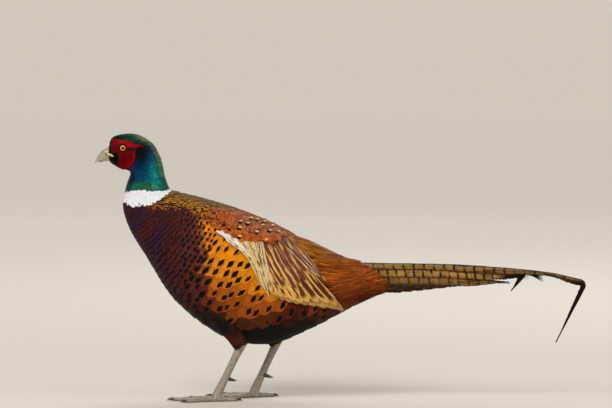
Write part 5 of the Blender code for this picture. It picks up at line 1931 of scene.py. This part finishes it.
for name, leg in LEGS.items():
    make_shank(name, leg)
    make_foot(name, leg)
    surface = thigh_surface(leg)
    roots = ring_roots(surface, 1.8, 5.5, (5.0, 3.0), 24, chance)
    step, width = room(surface, roots)
    growth = grow(surface, roots, "small", np.clip(step * 3.2, 6, 15), width * 1.7, 1.6, chance, arch=0.3,
                  lift=0.1, ragged=0.15)
    count = len(growth.spots)
    drift = ease(-0.3, 0.6, cloud(growth.spots, 12.0))
    colours = toward(plain(count, "soot"), "rump_dark", drift * 0.7)
    feather_piece(f"thigh_feathers_{name}", [growth], [(colours, plain(count, "black"), strengths(count))],
                  PLUMAGE["loose"])

# %% [markdown]
# ## Floor, light and camera
# A studio for museum pieces has a pale paper sweep and large soft lamps. The paper is one round sheet,
# flat for 9.5 m and then curved up to a low wall, so that it is behind the bird from every side, and
# it is lit from behind where the three lamps don't reach. The camera is far away with a long lens,
# and looks down by 3 degrees.

# %% The studio
FLAT_RADIUS, COVE_RADIUS = 9.5, 2.5  # in metres
BACKLIGHT = 0.5  # how strongly the paper shines where the lamps don't reach
SHEET_TURNS = 120
VIEW_WIDTH = 612  # squares of the drawing, from one side of the picture to the other
SENSOR = 36  # in millimetres


def paper_material():
    """Matt paper with a faint fibre, lit from behind where the lamps don't reach."""
    material, tree, shader = new_material("matt_paper", {"Roughness": 0.9, "Specular IOR Level": 0.2})
    position = add(tree, "TexCoord").outputs["Object"]
    fibre = add(tree, "TexNoise", {"Vector": position, "Scale": 60.0, "Detail": 5.0})
    paper = (*linear("#CFC8BC"), 1), (*linear("#D6D0C6"), 1)
    colour = add(tree, "Mix", {0: fibre, 6: paper[0], 7: paper[1]}, data_type="RGBA").outputs[2]
    tree.links.new(colour, shader.inputs["Base Color"])
    far = add(tree, "VectorMath", {0: position}, "LENGTH").outputs["Value"]
    backlit = add(tree, "MapRange", {0: far, 1: 0.8, 2: 4.0, 3: 0.0, 4: BACKLIGHT})
    tree.links.new(colour, shader.inputs["Emission Color"])
    tree.links.new(backlit.outputs[0], shader.inputs["Emission Strength"])
    return material


def make_floor():
    """A round sheet, flat round the bird, that curves up to a low wall out of the lamps' reach."""
    profile = [(0.0, 0.0), (3.0, 0.0), (6.0, 0.0), (FLAT_RADIUS, 0.0)]
    profile += [(FLAT_RADIUS + COVE_RADIUS * math.sin(a), COVE_RADIUS * (1 - math.cos(a)))
                for a in np.linspace(0.15, math.pi / 2, 12)]
    profile += [(FLAT_RADIUS + COVE_RADIUS, 5.0)]
    turns = full_turn(SHEET_TURNS)
    points = np.array([(r * math.cos(t), r * math.sin(t), z) for r, z in profile[1:] for t in turns])
    points = np.concatenate([points, [(0, 0, 0)]]) / MM
    rim = np.arange(SHEET_TURNS)
    middle = np.stack([np.full(SHEET_TURNS, len(points) - 1), rim, np.roll(rim, -1)], -1)
    quads = ring_faces(len(profile) - 1, SHEET_TURNS)[:, ::-1]
    new_mesh("floor", points, [quads, middle], paper_material())


def area_light(name, place, size, power, colour=(1, 1, 1)):
    lamp = bpy.data.lights.new(name, "AREA")
    lamp.shape = "DISK"
    lamp.size = size
    lamp.energy = power
    lamp.color = colour
    obj = bpy.data.objects.new(name, lamp)
    obj.location = place
    obj.rotation_euler = (Vector((0, 0, 0.2)) - Vector(place)).to_track_quat("-Z", "Y").to_euler()
    bpy.context.scene.collection.objects.link(obj)


def make_camera():
    centre, distance = Vector((-0.0429, 0.0, 0.245)), 8.0
    data = bpy.data.cameras.new("camera")
    data.sensor_width = SENSOR
    data.lens = SENSOR * distance / (VIEW_WIDTH * SQUARE * MM)
    camera = bpy.data.objects.new("camera", data)
    camera.location = centre + Vector((0, -math.cos(EYE_LEVEL), math.sin(EYE_LEVEL))) * distance
    camera.rotation_euler = (centre - camera.location).to_track_quat("-Z", "Y").to_euler()
    bpy.context.scene.collection.objects.link(camera)
    bpy.context.scene.camera = camera


make_floor()
area_light("key", (-1.4, -2.6, 2.4), 2.0, 105, (1.0, 0.98, 0.94))
area_light("fill", (2.6, -1.8, 1.4), 2.4, 26)
area_light("back", (0.6, 2.0, 2.4), 2.0, 40)
world = bpy.data.worlds.new("studio")
bpy.context.scene.world = world
world.use_nodes = True
world.node_tree.nodes["Background"].inputs["Color"].default_value = (0.93, 0.95, 1.0, 1)
world.node_tree.nodes["Background"].inputs["Strength"].default_value = 0.34
bpy.context.scene.view_settings.view_transform = "Standard"
make_camera()

# %% Sizes, and the end
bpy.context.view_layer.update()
total = sum(count_triangles(obj.data) for obj in bpy.data.objects
            if obj.type == "MESH" and not obj.hide_render)
print("all pieces:", total, "triangles")
